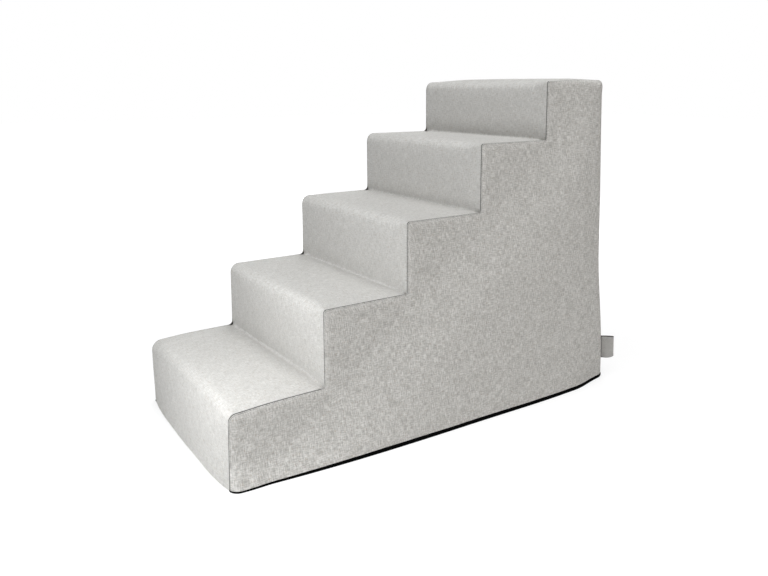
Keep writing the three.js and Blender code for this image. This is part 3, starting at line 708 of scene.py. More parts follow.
def node(tree, kind, values=None, **settings):
    """A node with its settings, and with its inputs set to values or linked to sockets."""
    made = tree.nodes.new(kind)
    for key, value in settings.items():
        setattr(made, key, value)
    for key, value in (values or {}).items():
        if isinstance(value, bpy.types.NodeSocket):
            tree.links.new(value, made.inputs[key])
        else:
            made.inputs[key].default_value = value
    return made


def group(name, inputs, outputs):
    """A new shader group with its sockets: (name, type, default) in, (name, type) out."""
    tree = bpy.data.node_groups.new(name, "ShaderNodeTree")
    for label, kind, default in inputs:
        socket = tree.interface.new_socket(name=label, in_out="INPUT", socket_type=kind)
        socket.default_value = default
    for label, kind in outputs:
        tree.interface.new_socket(name=label, in_out="OUTPUT", socket_type=kind)
    return tree, tree.nodes.new("NodeGroupInput"), tree.nodes.new("NodeGroupOutput")


def scaled(tree, vector, factors):
    made = node(tree, "ShaderNodeVectorMath", {0: vector, 1: factors}, operation="MULTIPLY")
    return made.outputs[0]


def stretched(tree, vector, across, along, detail=2.0):
    """Noise drawn out along one of the cloth's two directions."""
    values = {"Scale": 1.0, "Detail": detail, "Roughness": 0.55}
    values["Vector"] = scaled(tree, vector, (across, along, 1))
    return node(tree, "ShaderNodeTexNoise", values).outputs["Fac"]


def maths(tree, operation, first, second=0.0, third=0.0, clamp=False):
    made = node(tree, "ShaderNodeMath", {0: first, 1: second, 2: third}, operation=operation)
    made.use_clamp = clamp
    return made.outputs[0]


def mixed(tree, share, first, second):
    """Two colours mixed, where a share of 0 is the first one."""
    made = node(tree, "ShaderNodeMix", data_type="RGBA")
    parts = (("Factor", "VALUE", share), ("A", "RGBA", first), ("B", "RGBA", second))
    for key, kind, value in parts:
        socket = next(s for s in made.inputs if s.name == key and s.type == kind)
        if isinstance(value, bpy.types.NodeSocket):
            tree.links.new(value, socket)
        else:
            socket.default_value = value
    return next(s for s in made.outputs if s.type == "RGBA")


def remapped(tree, value, low, high, to_low=0.0, to_high=1.0):
    values = {"Value": value, "From Min": low, "From Max": high}
    values |= {"To Min": to_low, "To Max": to_high}
    return node(tree, "ShaderNodeMapRange", values).outputs["Result"]


def shared_group(name, inputs, outputs, build):
    """A shader group that is built once: build(tree, inputs) returns the outputs' sockets."""
    if name in bpy.data.node_groups:
        return bpy.data.node_groups[name]
    tree, entry, leave = group(name, inputs, outputs)
    for socket, value in zip(leave.inputs, build(tree, entry.outputs)):
        tree.links.new(value, socket)
    return tree


def plain_weave():
    """Threads that pass over and under each other, on flat cloth coordinates in metres."""

    def build(tree, inputs):
        turns = maths(tree, "DIVIDE", math.pi, inputs["Pitch"])
        parts = node(tree, "ShaderNodeSeparateXYZ", {0: inputs["Vector"]})
        across = maths(tree, "SINE", maths(tree, "MULTIPLY", parts.outputs[0], turns))
        along = maths(tree, "SINE", maths(tree, "MULTIPLY", parts.outputs[1], turns))
        woven = maths(tree, "ABSOLUTE", maths(tree, "ADD", across, along))
        return [maths(tree, "MULTIPLY", woven, 0.5)]

    inputs = [("Vector", "NodeSocketVector", (0, 0, 0)), ("Pitch", "NodeSocketFloat", 0.0009)]
    return shared_group("Plain weave", inputs, [("Height", "NodeSocketFloat")], build)


def slub_yarns():
    """The two-colour slubs and flecks of a linen-look cloth, on its flat coordinates."""
    fine, drawn_out = 900, 95  # how often a yarn varies in a metre, across it and along it
    clouds, fleck_scale = (60, 35, 6), (520, 260, 1)  # across, along, and detail
    yarn_span, cloud_height = (0.4, 0.6), 0.12
    warp_share, weft_share = 0.54, 0.46
    warm_span, pale_span = (0.62, 0.7, 0, 0.7), (0.32, 0.22, 0, 0.4)

    def build(tree, inputs):
        flat = inputs["Vector"]
        warp = remapped(tree, stretched(tree, flat, fine, drawn_out), *yarn_span)
        weft = remapped(tree, stretched(tree, flat, drawn_out, fine), *yarn_span)
        cloud = stretched(tree, flat, *clouds)
        cloud = remapped(tree, cloud, 0.3, 0.7, -cloud_height, cloud_height)
        share = maths(tree, "MULTIPLY_ADD", warp, warp_share, cloud)
        share = maths(tree, "MULTIPLY_ADD", weft, weft_share, share)
        share = maths(tree, "SUBTRACT", share, 0.5)
        share = maths(tree, "MULTIPLY_ADD", share, inputs["Contrast"], 0.5, clamp=True)
        yarns = mixed(tree, share, inputs["Dark yarn"], inputs["Light yarn"])
        flecks = stretched(tree, flat, *fleck_scale)
        warm = remapped(tree, flecks, *warm_span)
        pale = remapped(tree, flecks, *pale_span)
        slubbed = mixed(tree, pale, mixed(tree, warm, yarns, inputs["Fleck"]), inputs["Pale"])
        height = maths(tree, "MULTIPLY_ADD", warp, 0.5, maths(tree, "MULTIPLY", weft, 0.4))
        return [slubbed, height]

    inputs = [
        ("Vector", "NodeSocketVector", (0, 0, 0)),
        ("Contrast", "NodeSocketFloat", 1.0),
        ("Light yarn", "NodeSocketColor", (0.6, 0.6, 0.6, 1)),
        ("Dark yarn", "NodeSocketColor", (0.4, 0.4, 0.4, 1)),
        ("Fleck", "NodeSocketColor", (0.4, 0.35, 0.3, 1)),
        ("Pale", "NodeSocketColor", (0.85, 0.84, 0.82, 1)),
    ]
    outputs = [("Color", "NodeSocketColor"), ("Height", "NodeSocketFloat")]
    return shared_group("Slub yarns", inputs, outputs, build)


def placed_group(tree, made, **values):
    """A shader group in a material, with its inputs set or linked."""
    return node(tree, "ShaderNodeGroup", values, node_tree=made)


def finish(name, build, **shader):
    """A material on one Principled shader: build(tree, shader) links what varies."""
    material = bpy.data.materials.get(name)
    if material:
        return material
    material = bpy.data.materials.new(name)
    material.use_nodes = True
    tree = material.node_tree
    tree.nodes.clear()
    principled = node(tree, "ShaderNodeBsdfPrincipled", shader)
    node(tree, "ShaderNodeOutputMaterial", {"Surface": principled.outputs["BSDF"]})
    build(tree, principled)
    return material


def bump(tree, principled, height, distance, strength=1.0):
    values = {"Strength": strength, "Distance": distance, "Height": height}
    made = node(tree, "ShaderNodeBump", values)
    tree.links.new(made.outputs["Normal"], principled.inputs["Normal"])


def tinted(tree, principled, colour, share, darkest=0.6):
    """A colour that varies between a darker tone and itself by a share."""
    dark = (*(darkest * part for part in colour), 1)
    tree.links.new(mixed(tree, share, dark, (*colour, 1)), principled.inputs["Base Color"])


def linen(name="Linen", contrast=1.2):
    """The cover's cloth, with painted shade along its seams; contrast is how strongly its yarns
    differ.
    """
    colours = bpy.context.scene.steps_cover
    # Painted shade: the cloth turns near black along its seams, where a seam's groove lies in
    # shade, over a width set by the seam attribute.
    painted_seam_shade = (0.03, 0.029, 0.027, 1)
    shade_span = (2.0 * MM, 0.8 * MM, 0, 0.97)  # from no painted seam shade to most of it
    shader = {"Roughness": 0.95, "Specular IOR Level": 0.12, "Sheen Weight": 0.05}

    def build(tree, principled):
        flat = node(tree, "ShaderNodeUVMap", uv_map="cloth").outputs["UV"]
        near = node(tree, "ShaderNodeAttribute", attribute_name="seam").outputs["Fac"]
        yarns = placed_group(
            tree,
            slub_yarns(),
            **{
                "Vector": flat,
                "Contrast": contrast,
                "Light yarn": (*colours.light_yarn, 1),
                "Dark yarn": (*colours.dark_yarn, 1),
                "Fleck": (*colours.fleck, 1),
            },
        )
        woven = placed_group(tree, plain_weave(), Vector=flat, Pitch=LINEN_PITCH)
        shade = remapped(tree, near, *shade_span)
        shaded = mixed(tree, shade, yarns.outputs["Color"], painted_seam_shade)
        tree.links.new(shaded, principled.inputs["Base Color"])
        height = maths(tree, "ADD", yarns.outputs["Height"], woven.outputs["Height"])
        bump(tree, principled, height, LINEN_DEPTH, strength=0.8)

    return finish(name, build, **shader)


def ribbed(name, colour, pitch, depth, edge=0, **shader):
    """A woven tape or ribbon on its own flat coordinates, with painted shade in the weave's hollows
    and, when edge is given, near its edges.
    """

    def build(tree, principled):
        flat = node(tree, "ShaderNodeUVMap", uv_map="cloth").outputs["UV"]
        woven = placed_group(tree, plain_weave(), Vector=flat, Pitch=pitch)
        height = woven.outputs["Height"]
        # Painted shade: the threads are darker in the weave's hollows, more so in random patches.
        patchy = maths(tree, "MULTIPLY", height, stretched(tree, flat, 90, 90, detail=3))
        share = remapped(tree, patchy, 0, 0.5, 1 - TAPE_HOLLOW_SHADE, 1)
        # Painted shade near the seam attribute's low values: a ribbon's root and its edges.
        if edge:
            near = node(tree, "ShaderNodeAttribute", attribute_name="seam").outputs["Fac"]
            share = maths(tree, "MULTIPLY", share, remapped(tree, near, 0.3 * edge, edge))
        tinted(tree, principled, colour, share, darkest=0.1)
        bump(tree, principled, height, depth)

    return finish(name, build, **shader)


def zip_tape():
    colour = bpy.context.scene.steps_trim.zip_colour
    return ribbed("Zip tape", colour, pitch=0.55 * MM, depth=0.2 * MM, Roughness=0.85)


def label_ribbon():
    colour = bpy.context.scene.steps_trim.label_colour
    shader = {"Roughness": 0.6, "Sheen Weight": 0.2, "Specular IOR Level": 0.35}
    # edge is the width of the painted shade at the label's root and edges.
    weave = {"pitch": 0.4 * MM, "depth": 0.08 * MM, "edge": LABEL_SHADE}
    return ribbed("Label ribbon", colour, **weave, **shader)


def mottled(name, colour, size, depth, darkest, **shader):
    """A solid stuff whose tone and face vary a little all over, in spots of a size."""

    def build(tree, principled):
        place = node(tree, "ShaderNodeTexCoord").outputs["Object"]
        values = {"Vector": place, "Scale": 1 / size, "Detail": 4.0}
        grain = node(tree, "ShaderNodeTexNoise", values).outputs["Fac"]
        tinted(tree, principled, colour, remapped(tree, grain, 0.35, 0.65), darkest)
        rough, change = shader["Roughness"], 0.06
        dull = remapped(tree, grain, 0.3, 0.7, rough - change, rough + change)
        tree.links.new(dull, principled.inputs["Roughness"])
        bump(tree, principled, grain, depth)

    return finish(name, build, **shader)


def base_felt():
    colour = bpy.context.scene.steps_trim.base_colour
    grain = {"size": 1.6 * MM, "depth": 0.4 * MM, "darkest": 0.5}
    return mottled("Base felt", colour, **grain, **{"Roughness": 1.0, "Specular IOR Level": 0.02})


def rubber():
    colour = bpy.context.scene.steps_trim.base_colour
    grain = {"size": 3 * MM, "depth": 0.05 * MM, "darkest": 0.8}
    return mottled("Rubber", colour, **grain, Roughness=0.6)


def sewing_thread():
    colour = bpy.context.scene.steps_trim.thread_colour
    grain = {"size": 0.5 * MM, "depth": 0.1 * MM, "darkest": 0.7}
    return mottled("Sewing thread", colour, **grain, Roughness=0.7)


def coil_nylon():
    colour = bpy.context.scene.steps_trim.zip_colour
    grain = {"size": 4 * MM, "depth": 0.03 * MM, "darkest": 0.8}
    return mottled("Coil nylon", colour, **grain, Roughness=0.38)


def zip_metal():
    """Die-cast metal under black paint, worn a little paler here and there."""
    colour = bpy.context.scene.steps_trim.zip_colour
    paler = 1.6  # than the zip's cloth
    paint = (*(paler * part for part in colour), 1)
    bare_metal = (0.16, 0.155, 0.15, 1)
    worn_span, dull_span = (0.6, 0.72, 0, 0.5), (0.3, 0.7, 0.28, 0.42)

    def build(tree, principled):
        place = node(tree, "ShaderNodeTexCoord").outputs["Object"]
        values = {"Vector": place, "Scale": 420.0, "Detail": 5.0}
        grain = node(tree, "ShaderNodeTexNoise", values).outputs["Fac"]
        worn = remapped(tree, grain, *worn_span)
        painted = mixed(tree, worn, paint, bare_metal)
        tree.links.new(painted, principled.inputs["Base Color"])
        tree.links.new(remapped(tree, grain, *dull_span), principled.inputs["Roughness"])
        bump(tree, principled, grain, distance=0.04 * MM)

    return finish("Zip metal", build, **{"Metallic": 0.4, "Coat Weight": 0.3})


def foam():
    """Cut open-cell foam."""
    colour = bpy.context.scene.steps_trim.foam_colour

    def build(tree, principled):
        place = node(tree, "ShaderNodeTexCoord").outputs["Object"]
        cells = node(tree, "ShaderNodeTexVoronoi", {"Vector": place, "Scale": 650.0})
        # Painted shade: the cells' hollows are darker; the broad noise varies the tone at random.
        walls = remapped(tree, cells.outputs["Distance"], 0, 0.7)
        broad = node(tree, "ShaderNodeTexNoise", {"Vector": place, "Scale": 25.0, "Detail": 3.0})
        share = maths(tree, "MULTIPLY", walls, remapped(tree, broad.outputs["Fac"], 0, 1, 0.8, 1.2))
        tinted(tree, principled, colour, share, darkest=0.72)
        bump(tree, principled, walls, distance=0.5 * MM, strength=0.7)

    return finish("Foam", build, **{"Roughness": 0.95, "Specular IOR Level": 0.15})


# ---------------------------------------------------------------- the cover's panels


def strip_columns(half):
    """The columns of half a strip: shares of its width, then distances from its seam."""
    near = np.append(CURL_GAPS, STRIP_NEAR)[::-1]
    shares = np.linspace(0, 1, 1 + round((half - near[0]) / CLOTH_SPACING))[:-1]
    return shares, near


class STEPS_OT_tread_strip(bpy.types.Operator):
    """Makes the long panel that covers the front, the risers, the treads and the top"""

    bl_idname = "steps.tread_strip"
    bl_label = "Tread strip"

    def execute(self, context):
        sizes = context.scene.steps_cover
        edge = Edge(sizes, 1)
        near_fold = edge.tight[:, 1] < FOLD + CURL_GAPS[-1] + STRIP_END
        on_back = edge.tight[:, 0] > BACK - ON_BACK
        rows = int(np.argmax(near_fold & on_back))
        place, flat, near = self.face(sizes, edge, rows)
        place, flat, near = self.curled_end(place, flat, near, len(place) // rows)
        panel = cloth(
            "tread_strip_cover",
            settled(sizes, place, foot=STRIP_FOOT),
            grid_faces(rows + len(CURL_GAPS), len(place) // (rows + len(CURL_GAPS))),
            flat,
            near,
        )
        # The strip's copy of the cloth has lower yarn contrast: painted light that stands for the
        # strong light washing out the treads and risers.
        dress(panel, "steps", "linen", linen("Linen strip", contrast=0.55), "tread_strip")
        return {"FINISHED"}

    @staticmethod
    def face(sizes, edge, rows):
        """The strip's points row by row, their places on the flat cloth, and their seam gaps."""
        shares, near = strip_columns(SIDE - SEAM_ROLL)
        halves = edge.half_width(np.arange(rows))
        row = np.stack([np.concatenate([shares * (h - near[0]), h - near]) for h in halves])
        row = np.concatenate([-row[:, :0:-1], row], 1)
        station = np.repeat(np.arange(rows), row.shape[1])
        row = row.ravel()
        half = halves[station]
        gap = half - np.abs(row)
        place, normal = edge.face(station, np.abs(row))
        left = row < 0
        left_edge = Edge(sizes, -1)
        place[left], normal[left] = left_edge.face(station[left], -row[left])
        front_right = (row > 0) & (edge.along[station] < TREADS[0])
        power = np.where(front_right, FRONT_CROWN_POWER, CROWN_POWER)
        rise = edge.crown[station] * (1 - np.abs(row / half) ** power)
        rise -= sizes.crease * np.exp(-((gap / CREASE_REACH) ** 2)) * edge.foot[station] ** 3
        rise += rumple(place, sizes, 1) * smooth_step(gap, 0, STRIP_WAVES)
        rise -= curl(gap)
        place = place + normal * rise[:, None]
        place[left, 0] *= -1
        # The seam gap is widened where the painted seam shade is narrower: on the left side and
        # along the risers.
        shade = np.where(left, SEAM_SHADES[-1], SEAM_SHADES[1])
        return place, np.stack([row, edge.along[station]], -1), gap + shade + edge.upright[station]

    @staticmethod
    def curled_end(place, flat, near, columns):
        """The strip with its last row drawn down to the fold, where it curls in."""
        end, end_flat = place[-columns:], flat[-columns:]
        for to_fold in CURL_GAPS[::-1]:
            lower = end[:, 2] - FOLD - to_fold
            row = end - np.outer(curl([to_fold]), (0, 1, 0)) - np.outer(lower, (0, 0, 1))
            place = np.concatenate([place, row])
            flat = np.concatenate([flat, end_flat + np.outer(lower, (0, 1))])
            near = np.concatenate([near, np.minimum(near[-columns:], to_fold)])
        return place, flat, near


class STEPS_OT_side_panels(bpy.types.Operator):
    """Makes the two stepped side panels, with the border that rolls over onto the treads"""

    bl_idname = "steps.side_panels"
    bl_label = "Side panels"

    def execute(self, context):
        sizes = context.scene.steps_cover
        for name, side in (("side_panel_right", 1), ("side_panel_left", -1)):
            edge = Edge(sizes, side)
            points, faces, flat, near, deep = self.panel(edge)
            place = settled(sizes, points * (side, 1, 1))
            place[:, 0] += rumple(place, sizes, 2) * smooth_step(deep, 0, SIDE_WAVES)
            # The painted seam shade is narrower on the left side.
            near = near + SEAM_SHADES[side]
            panel = cloth(f"{name}_cover", place, faces, flat + (2 * side, 0), near)
            dress(panel, "steps", "linen", linen(), name)
        return {"FINISHED"}

    @staticmethod
    def panel(edge):
        """A side's points and faces, its flat cloth, and two distances of its points.

        The first is how far they are from the seam, and the second how far within the roll.
        """
        count = len(edge.along)
        index = np.arange(count)
        widths = edge.side_width(index)
        far = [np.linspace(CURL_GAPS[-1], width, ARC_STEPS + 1)[1:] for width in widths]
        gap = np.stack([np.concatenate([CURL_GAPS, row]) for row in far])
        columns = gap.shape[1]
        station = np.repeat(index, columns)
        gap = gap.ravel()
        place, normal = edge.face(station, edge.half_width(station) + gap)
        place = place - normal * curl(gap)[:, None]
        beyond = edge.side_width(station) - gap
        rolled = edge.inner[station] + edge.out[station] * beyond[:, None]
        ring = edge.inner
        foot = np.linspace(ring[-1], ring[0], round(np.ptp(ring[:, 0]) / FILL_SPACING))[1:-1]
        outline = np.concatenate([ring, foot])
        fill, triangles = filled(outline, FILL_SPACING)
        deep = nearest(fill, ring)
        body = np.stack([np.full(len(fill), SIDE), fill[:, 0], fill[:, 1]], -1)
        faces = grid_faces(count, columns)
        faces += [[i + len(place) for i in face] for face in triangles]
        return (
            np.concatenate([place, body]),
            faces,
            np.concatenate([rolled, fill]),
            np.concatenate([gap + edge.upright[station], deep + SEAM_ROLL]),
            np.concatenate([np.zeros(len(gap)), deep]),
        )


# ---------------------------------------------------------------- the back, and the zip's run

RUN_LEVEL = CHAIN_X - CHAIN_CORNER  # half the straight part under the flap
RUN_TURN = CHAIN_CORNER * math.pi / 2
RUN_MITRE = RUN_LEVEL + RUN_TURN / 2


def run_place(distance, offset):
    """X and Z on the zip's run, at a distance from its lowest middle, plus to the right.

    offset is how far outside the middle of the chain the place lies.
    """
    side, far = np.sign(distance), np.abs(distance)
    angle = np.clip((far - RUN_LEVEL) / CHAIN_CORNER, 0, math.pi / 2)
    up = np.clip(far - RUN_LEVEL - RUN_TURN, 0, None)
    x = np.minimum(far, RUN_LEVEL) + (CHAIN_CORNER + offset) * np.sin(angle)
    z = CHAIN_Z + CHAIN_CORNER - (CHAIN_CORNER + offset) * np.cos(angle) + up
    return side * x, z


def run_ahead(distance):
    """The run's direction there, away from its lowest middle on the right side."""
    far = np.abs(distance)
    angle = np.clip((far - RUN_LEVEL) / CHAIN_CORNER, 0, math.pi / 2)
    return np.stack([np.cos(angle), np.zeros_like(angle), np.sign(distance) * np.sin(angle)], -1)


def run_length(height):
    """How far along the run a height on one of its legs is."""
    return RUN_LEVEL + RUN_TURN + height - CHAIN_Z - CHAIN_CORNER


def border_edge(distance):
    """The border's outer seam across from a place on the run, along the flat cloth."""
    turned = np.clip((distance - RUN_LEVEL) / (RUN_TURN / 2), 0, 2)
    up = np.clip(distance - RUN_LEVEL - RUN_TURN, 0, None)
    width = np.minimum(distance, RUN_LEVEL)
    width = width + (SEAM_WIDTH - RUN_LEVEL) * np.minimum(turned, 1)
    return width, HEM + (CHAIN_Z + CHAIN_CORNER - HEM) * np.clip(turned - 1, 0, 1) + up


def border_place(sizes, width, height, to_seam, to_opening):
    """Where a point of the border round the flap lies."""
    place, normal = back_face(width, height)
    place = place + normal * (hem_lift(to_opening) - curl(to_seam))[:, None]
    return settled(sizes, place)


def flap_place(sizes, width, height):
    """Where a point of the back flap lies."""
    half, foot = CHAIN_X - OPENING, CHAIN_Z + OPENING
    across = np.abs(width) - RUN_LEVEL
    below = CHAIN_Z + CHAIN_CORNER - height
    in_corner = (across > 0) & (below > 0)
    to_hem = np.minimum(half - np.abs(width), height - foot)
    to_hem = np.where(in_corner, CHAIN_CORNER - OPENING - np.hypot(across, below), to_hem)
    middle = (2 * height - FOLD - foot) / (FOLD - foot)
    swell = (1 - (width / half) ** 2) * (1 - middle**2)
    place, normal = back_face(width, height)
    lift = sizes.back_bulge * swell + hem_lift(to_hem) - curl(FOLD - height)
    lift += rumple(place, sizes, 4) * smooth_step(to_hem, *FLAP_WAVES)
    return settled(sizes, place + normal * lift[:, None])


class STEPS_OT_back(bpy.types.Operator):
    """Makes the flap and the mitred border round it, folded back along the zip"""

    bl_idname = "steps.back"
    bl_label = "Back border and flap"

    def execute(self, context):
        sizes = context.scene.steps_cover
        top = run_length(FOLD)
        self.border(sizes, "back_border_right", RUN_MITRE, top, 1)
        self.border(sizes, "back_border_left", RUN_MITRE, top, -1)
        self.border(sizes, "back_border_bottom", -RUN_MITRE, RUN_MITRE, 1)
        self.flap(sizes)
        return {"FINISHED"}

    @staticmethod
    def border(sizes, name, start, end, side):
        distance = start + spread_out(end - start, CLOTH_SPACING)
        inner = np.stack(run_place(distance, OPENING), -1)
        outer_x, outer_z = border_edge(np.abs(distance))
        outer = np.stack([np.sign(distance) * outer_x, outer_z], -1)
        reach = np.linalg.norm(inner - outer, axis=1)
        share = np.linspace(0, 1, BORDER_COLUMNS + 1)[1:-1, None]
        to_seam = CURL_GAPS[-1] + share * (reach - CURL_GAPS[-1] - HEM_GAPS[-1])
        first = np.broadcast_to(CURL_GAPS[:, None], (len(CURL_GAPS), len(reach)))
        to_seam = np.concatenate([first, to_seam, reach - HEM_GAPS[::-1, None]]).T
        flat = outer[:, None] + (inner - outer)[:, None] * (to_seam / reach[:, None])[..., None]
        to_opening = reach[:, None] - to_seam
        corner, bend = border_edge(RUN_MITRE), run_place(RUN_MITRE, OPENING)
        mitre = np.subtract(bend, corner) / math.dist(bend, corner)
        aside = np.abs(flat) - corner
        to_mitre = np.abs(aside[..., 0] * mitre[1] - aside[..., 1] * mitre[0])
        gap = np.minimum(np.minimum(to_seam, to_mitre), FOLD - flat[..., 1]).clip(0)
        flat = flat.reshape(-1, 2) * (side, 1)
        place = border_place(sizes, *flat.T, gap.ravel(), to_opening.ravel())
        faces = grid_faces(*to_seam.shape)
        panel = cloth(f"{name}_cover", place, faces, flat + (side, 1), gap.ravel())
        dress(panel, "steps", "linen", linen(), name)

    @staticmethod
    def flap(sizes):
        foot, half = CHAIN_Z + OPENING, CHAIN_X - OPENING
        height = foot + spread_out(FOLD - foot, CLOTH_SPACING, HEM_GAPS, CURL_GAPS)
        radius = CHAIN_CORNER - OPENING
        below = np.clip(CHAIN_Z + CHAIN_CORNER - height, 0, radius)
        halves = half - radius + np.sqrt(radius**2 - below**2)
        share = spread_out(2 * half, 2 * CLOTH_SPACING, HEM_GAPS, HEM_GAPS) / half - 1
        width = (halves[:, None] * share).ravel()
        level = np.repeat(height, len(share))
        place = flap_place(sizes, width, level)
        panel = cloth(
            "back_flap_cover",
            place,
            grid_faces(len(height), len(share)),
            np.stack([width + 3, level], -1),
            np.clip(FOLD - level, 0, None),
        )
        dress(panel, None, "linen", linen(), "back_flap")
        hang(panel)


def hang(piece):
    """Bakes a piece of the flap's placement into its mesh."""
    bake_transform(piece)


# ---------------------------------------------------------------- what repeats


def repeat_tree(name, inputs, shape):
    """Geometry nodes that put a shape at each point, its X ahead and its Z up."""
    if name in bpy.data.node_groups:
        return bpy.data.node_groups[name]
    tree = bpy.data.node_groups.new(name, "GeometryNodeTree")
    sockets = [("Geometry", "Geometry", None), *[(n, "Float", v) for n, v in inputs.items()]]
    for label, kind, default in [*sockets, ("Material", "Material", None)]:
        socket = tree.interface.new_socket(
            name=label, in_out="INPUT", socket_type=f"NodeSocket{kind}"
        )
        if default is not None:
            socket.default_value = default
    tree.interface.new_socket(
        name="Geometry", in_out="OUTPUT", socket_type="NodeSocketGeometry"
    )
    entry = tree.nodes.new("NodeGroupInput").outputs
    ahead, up = (
        node(tree, "GeometryNodeInputNamedAttribute", {"Name": label}, data_type="FLOAT_VECTOR")
        for label in ("ahead", "up")
    )
    turned = node(
        tree,
        "FunctionNodeAlignRotationToVector",
        {"Vector": ahead.outputs["Attribute"]},
        axis="X",
    )
    turned = node(
        tree,
        "FunctionNodeAlignRotationToVector",
        {"Rotation": turned.outputs[0], "Vector": up.outputs["Attribute"]},
        axis="Z",
        pivot_axis="X",
    )
    placed = node(
        tree,
        "GeometryNodeInstanceOnPoints",
        {
            "Points": entry["Geometry"],
            "Instance": shape(tree, entry),
            "Rotation": turned.outputs[0],
        },
    )
    real = node(tree, "GeometryNodeRealizeInstances", {"Geometry": placed.outputs[0]})
    values = {"Geometry": real.outputs[0], "Material": entry["Material"]}
    made = node(tree, "GeometryNodeSetMaterial", values)
    node(tree, "NodeGroupOutput", {"Geometry": made.outputs[0]})
    return tree


def resized(tree, shape, x, y, z, turn=(0, 0, 0)):
    """A shape with its sizes along X, Y and Z, which are then turned."""
    sizes = node(tree, "ShaderNodeCombineXYZ", {0: x, 1: y, 2: z})
    values = {"Geometry": shape, "Scale": sizes.outputs[0], "Rotation": turn}
    return node(tree, "GeometryNodeTransform", values).outputs[0]


def stitches():
    def shape(tree, entry):
        values = {"Segments": 6, "Rings": 5, "Radius": 0.5}
        ball = node(tree, "GeometryNodeMeshUVSphere", values).outputs["Mesh"]
        smooth = node(tree, "GeometryNodeSetShadeSmooth", {"Geometry": ball}).outputs[0]
        thread = entry["Thread"]
        turn = (0, math.pi / 2, 0)
        return resized(tree, smooth, thread, thread, entry["Length"], turn)

    return repeat_tree("Stitches", {"Length": 2.8 * MM, "Thread": 0.7 * MM}, shape)


def coil_turns():
    def shape(tree, entry):
        ring = node(tree, "GeometryNodeCurvePrimitiveCircle", {"Resolution": 8, "Radius": 0.5})
        turn = (0, math.pi / 2, 0)
        loop = resized(tree, ring.outputs["Curve"], entry["Height"], entry["Width"], 1.0, turn)
        radius = maths(tree, "DIVIDE", entry["Wire"], 2.0)
        wire = node(tree, "GeometryNodeCurvePrimitiveCircle", {"Resolution": 5, "Radius": radius})
        values = {"Curve": loop, "Profile Curve": wire.outputs["Curve"]}
        tube = node(tree, "GeometryNodeCurveToMesh", values).outputs["Mesh"]
        return node(tree, "GeometryNodeSetShadeSmooth", {"Geometry": tube}).outputs[0]

    sizes = {"Width": 2 * MM, "Height": 1.4 * MM, "Wire": 0.85 * MM}
    return repeat_tree("Coil turns", sizes, shape)


def rubber_dots():
    def shape(tree, entry):
        values = {
            "Vertices": 12,
            "Radius Top": maths(tree, "MULTIPLY", entry["Radius"], 0.6),
            "Radius Bottom": entry["Radius"],
            "Depth": entry["Depth"],
        }
        return node(tree, "GeometryNodeMeshCone", values).outputs["Mesh"]

    return repeat_tree("Rubber dots", {"Radius": 2 * MM, "Depth": MM}, shape)


def repeated(name, tree, material, points, ahead, up, **sizes):
    """A plain mesh of a tree's shape at each of some points."""
    mesh = bpy.data.meshes.new(name)
    mesh.from_pydata([tuple(p) for p in points], [], [])
    for label, value in (("ahead", ahead), ("up", up)):
        layer = mesh.attributes.new(label, "FLOAT_VECTOR", "POINT")
        layer.data.foreach_set("vector", np.broadcast_to(value, (len(points), 3)).ravel())
    piece = linked(name, mesh)
    modifier = piece.modifiers.new("repeat", "NODES")
    modifier.node_group = tree
    named = {"Material": material, **sizes}
    for socket in tree.interface.items_tree:
        if socket.in_out == "INPUT" and socket.name in named:
            modifier[socket.identifier] = named[socket.name]
    return settle(piece)


# ---------------------------------------------------------------- base, foam and label


class STEPS_OT_base(bpy.types.Operator):
    """Makes the shallow non-slip base and the rubber dots under it"""

    bl_idname = "steps.base"
    bl_label = "Non-slip base"

    def execute(self, context):
        cover, trim = context.scene.steps_cover, context.scene.steps_trim
        rings = [self.ring(cover, inset, low, share) for inset, low, share in BASE_PROFILE]
        floor, triangles = filled(rings[0][:, :2], BASE_SPACING)
        count = len(rings[0])
        level = np.column_stack([floor, np.full(len(floor), rings[0][0, 2])])
        points = np.concatenate([level, *rings[1:]])
        around = [(i, (i + 1) % count) for i in range(count)]
        starts = [0, *(len(level) + i * count for i in range(len(rings) - 1))]
        faces = list(triangles)
        for a, b in zip(starts, starts[1:]):
            faces += [[a + i, a + j, b + j, b + i] for i, j in around]
        tray = cloth("base_tray", points, faces, points[:, :2], thickness=BASE_FELT)
        dress(tray, "steps", "base", base_felt(), "base_panel")
        self.dots(trim, rings[0])
        return {"FINISHED"}

    @staticmethod
    def dots(trim, outline):
        """Rubber dots in staggered rows under the tray's flat middle."""
        pitch = trim.dot_pitch
        rows = np.arange(FRONT, BACK, pitch * math.sqrt(3) / 2)
        dots = np.array([
            (x + (i % 2) * pitch / 2, y)
            for i, y in enumerate(rows)
            for x in np.arange(-SIDE, SIDE + DOT_MARGIN, pitch)
        ])
        dots = dots[inside(dots, outline[:, :2])]
        depth = outline[0, 2]
        under = np.column_stack([dots, np.full(len(dots), depth)])
        sizes = {"Radius": trim.dot_radius, "Depth": depth}
        dotted = repeated(
            "base_dots", rubber_dots(), rubber(), under, (1, 0, 0), (0, 0, -1), **sizes
        )
        dress(dotted, "steps", "base", rubber())

    @staticmethod
    def ring(sizes, inset, low, share):
        """The tray's outline in plan, at a height that follows its rim by a share."""
        corners = [
            (0, FRONT + inset, 0),
            (SIDE - inset, FRONT + inset, SEAM_ROLL - inset),
            (SIDE - inset, BACK - inset, CORNER_ROLL - inset),
            (0, BACK - inset, 0),
        ]
        right, _ = walk(corners, BASE_COUNTS)
        left = right[-2:0:-1] * (-1, 1)
        x, y = np.concatenate([right, left]).T
        # Along the front, where the tread strip comes down to the floor, there is no rim.
        tucked = (np.abs(x) < STRIP_HIGH.x) & (y < FRONT + SEAM_ROLL)
        z = low + share * (rim_top(y) - RIM_FRONT) * ~tucked
        z = np.where(tucked, np.minimum(z, BASE_LEVEL), z)
        y = y + tucked * (FABRIC + MM) * (inset < BASE_TUCKED)
        return settled(sizes, np.stack([x, y, z], -1), foot=HEM)


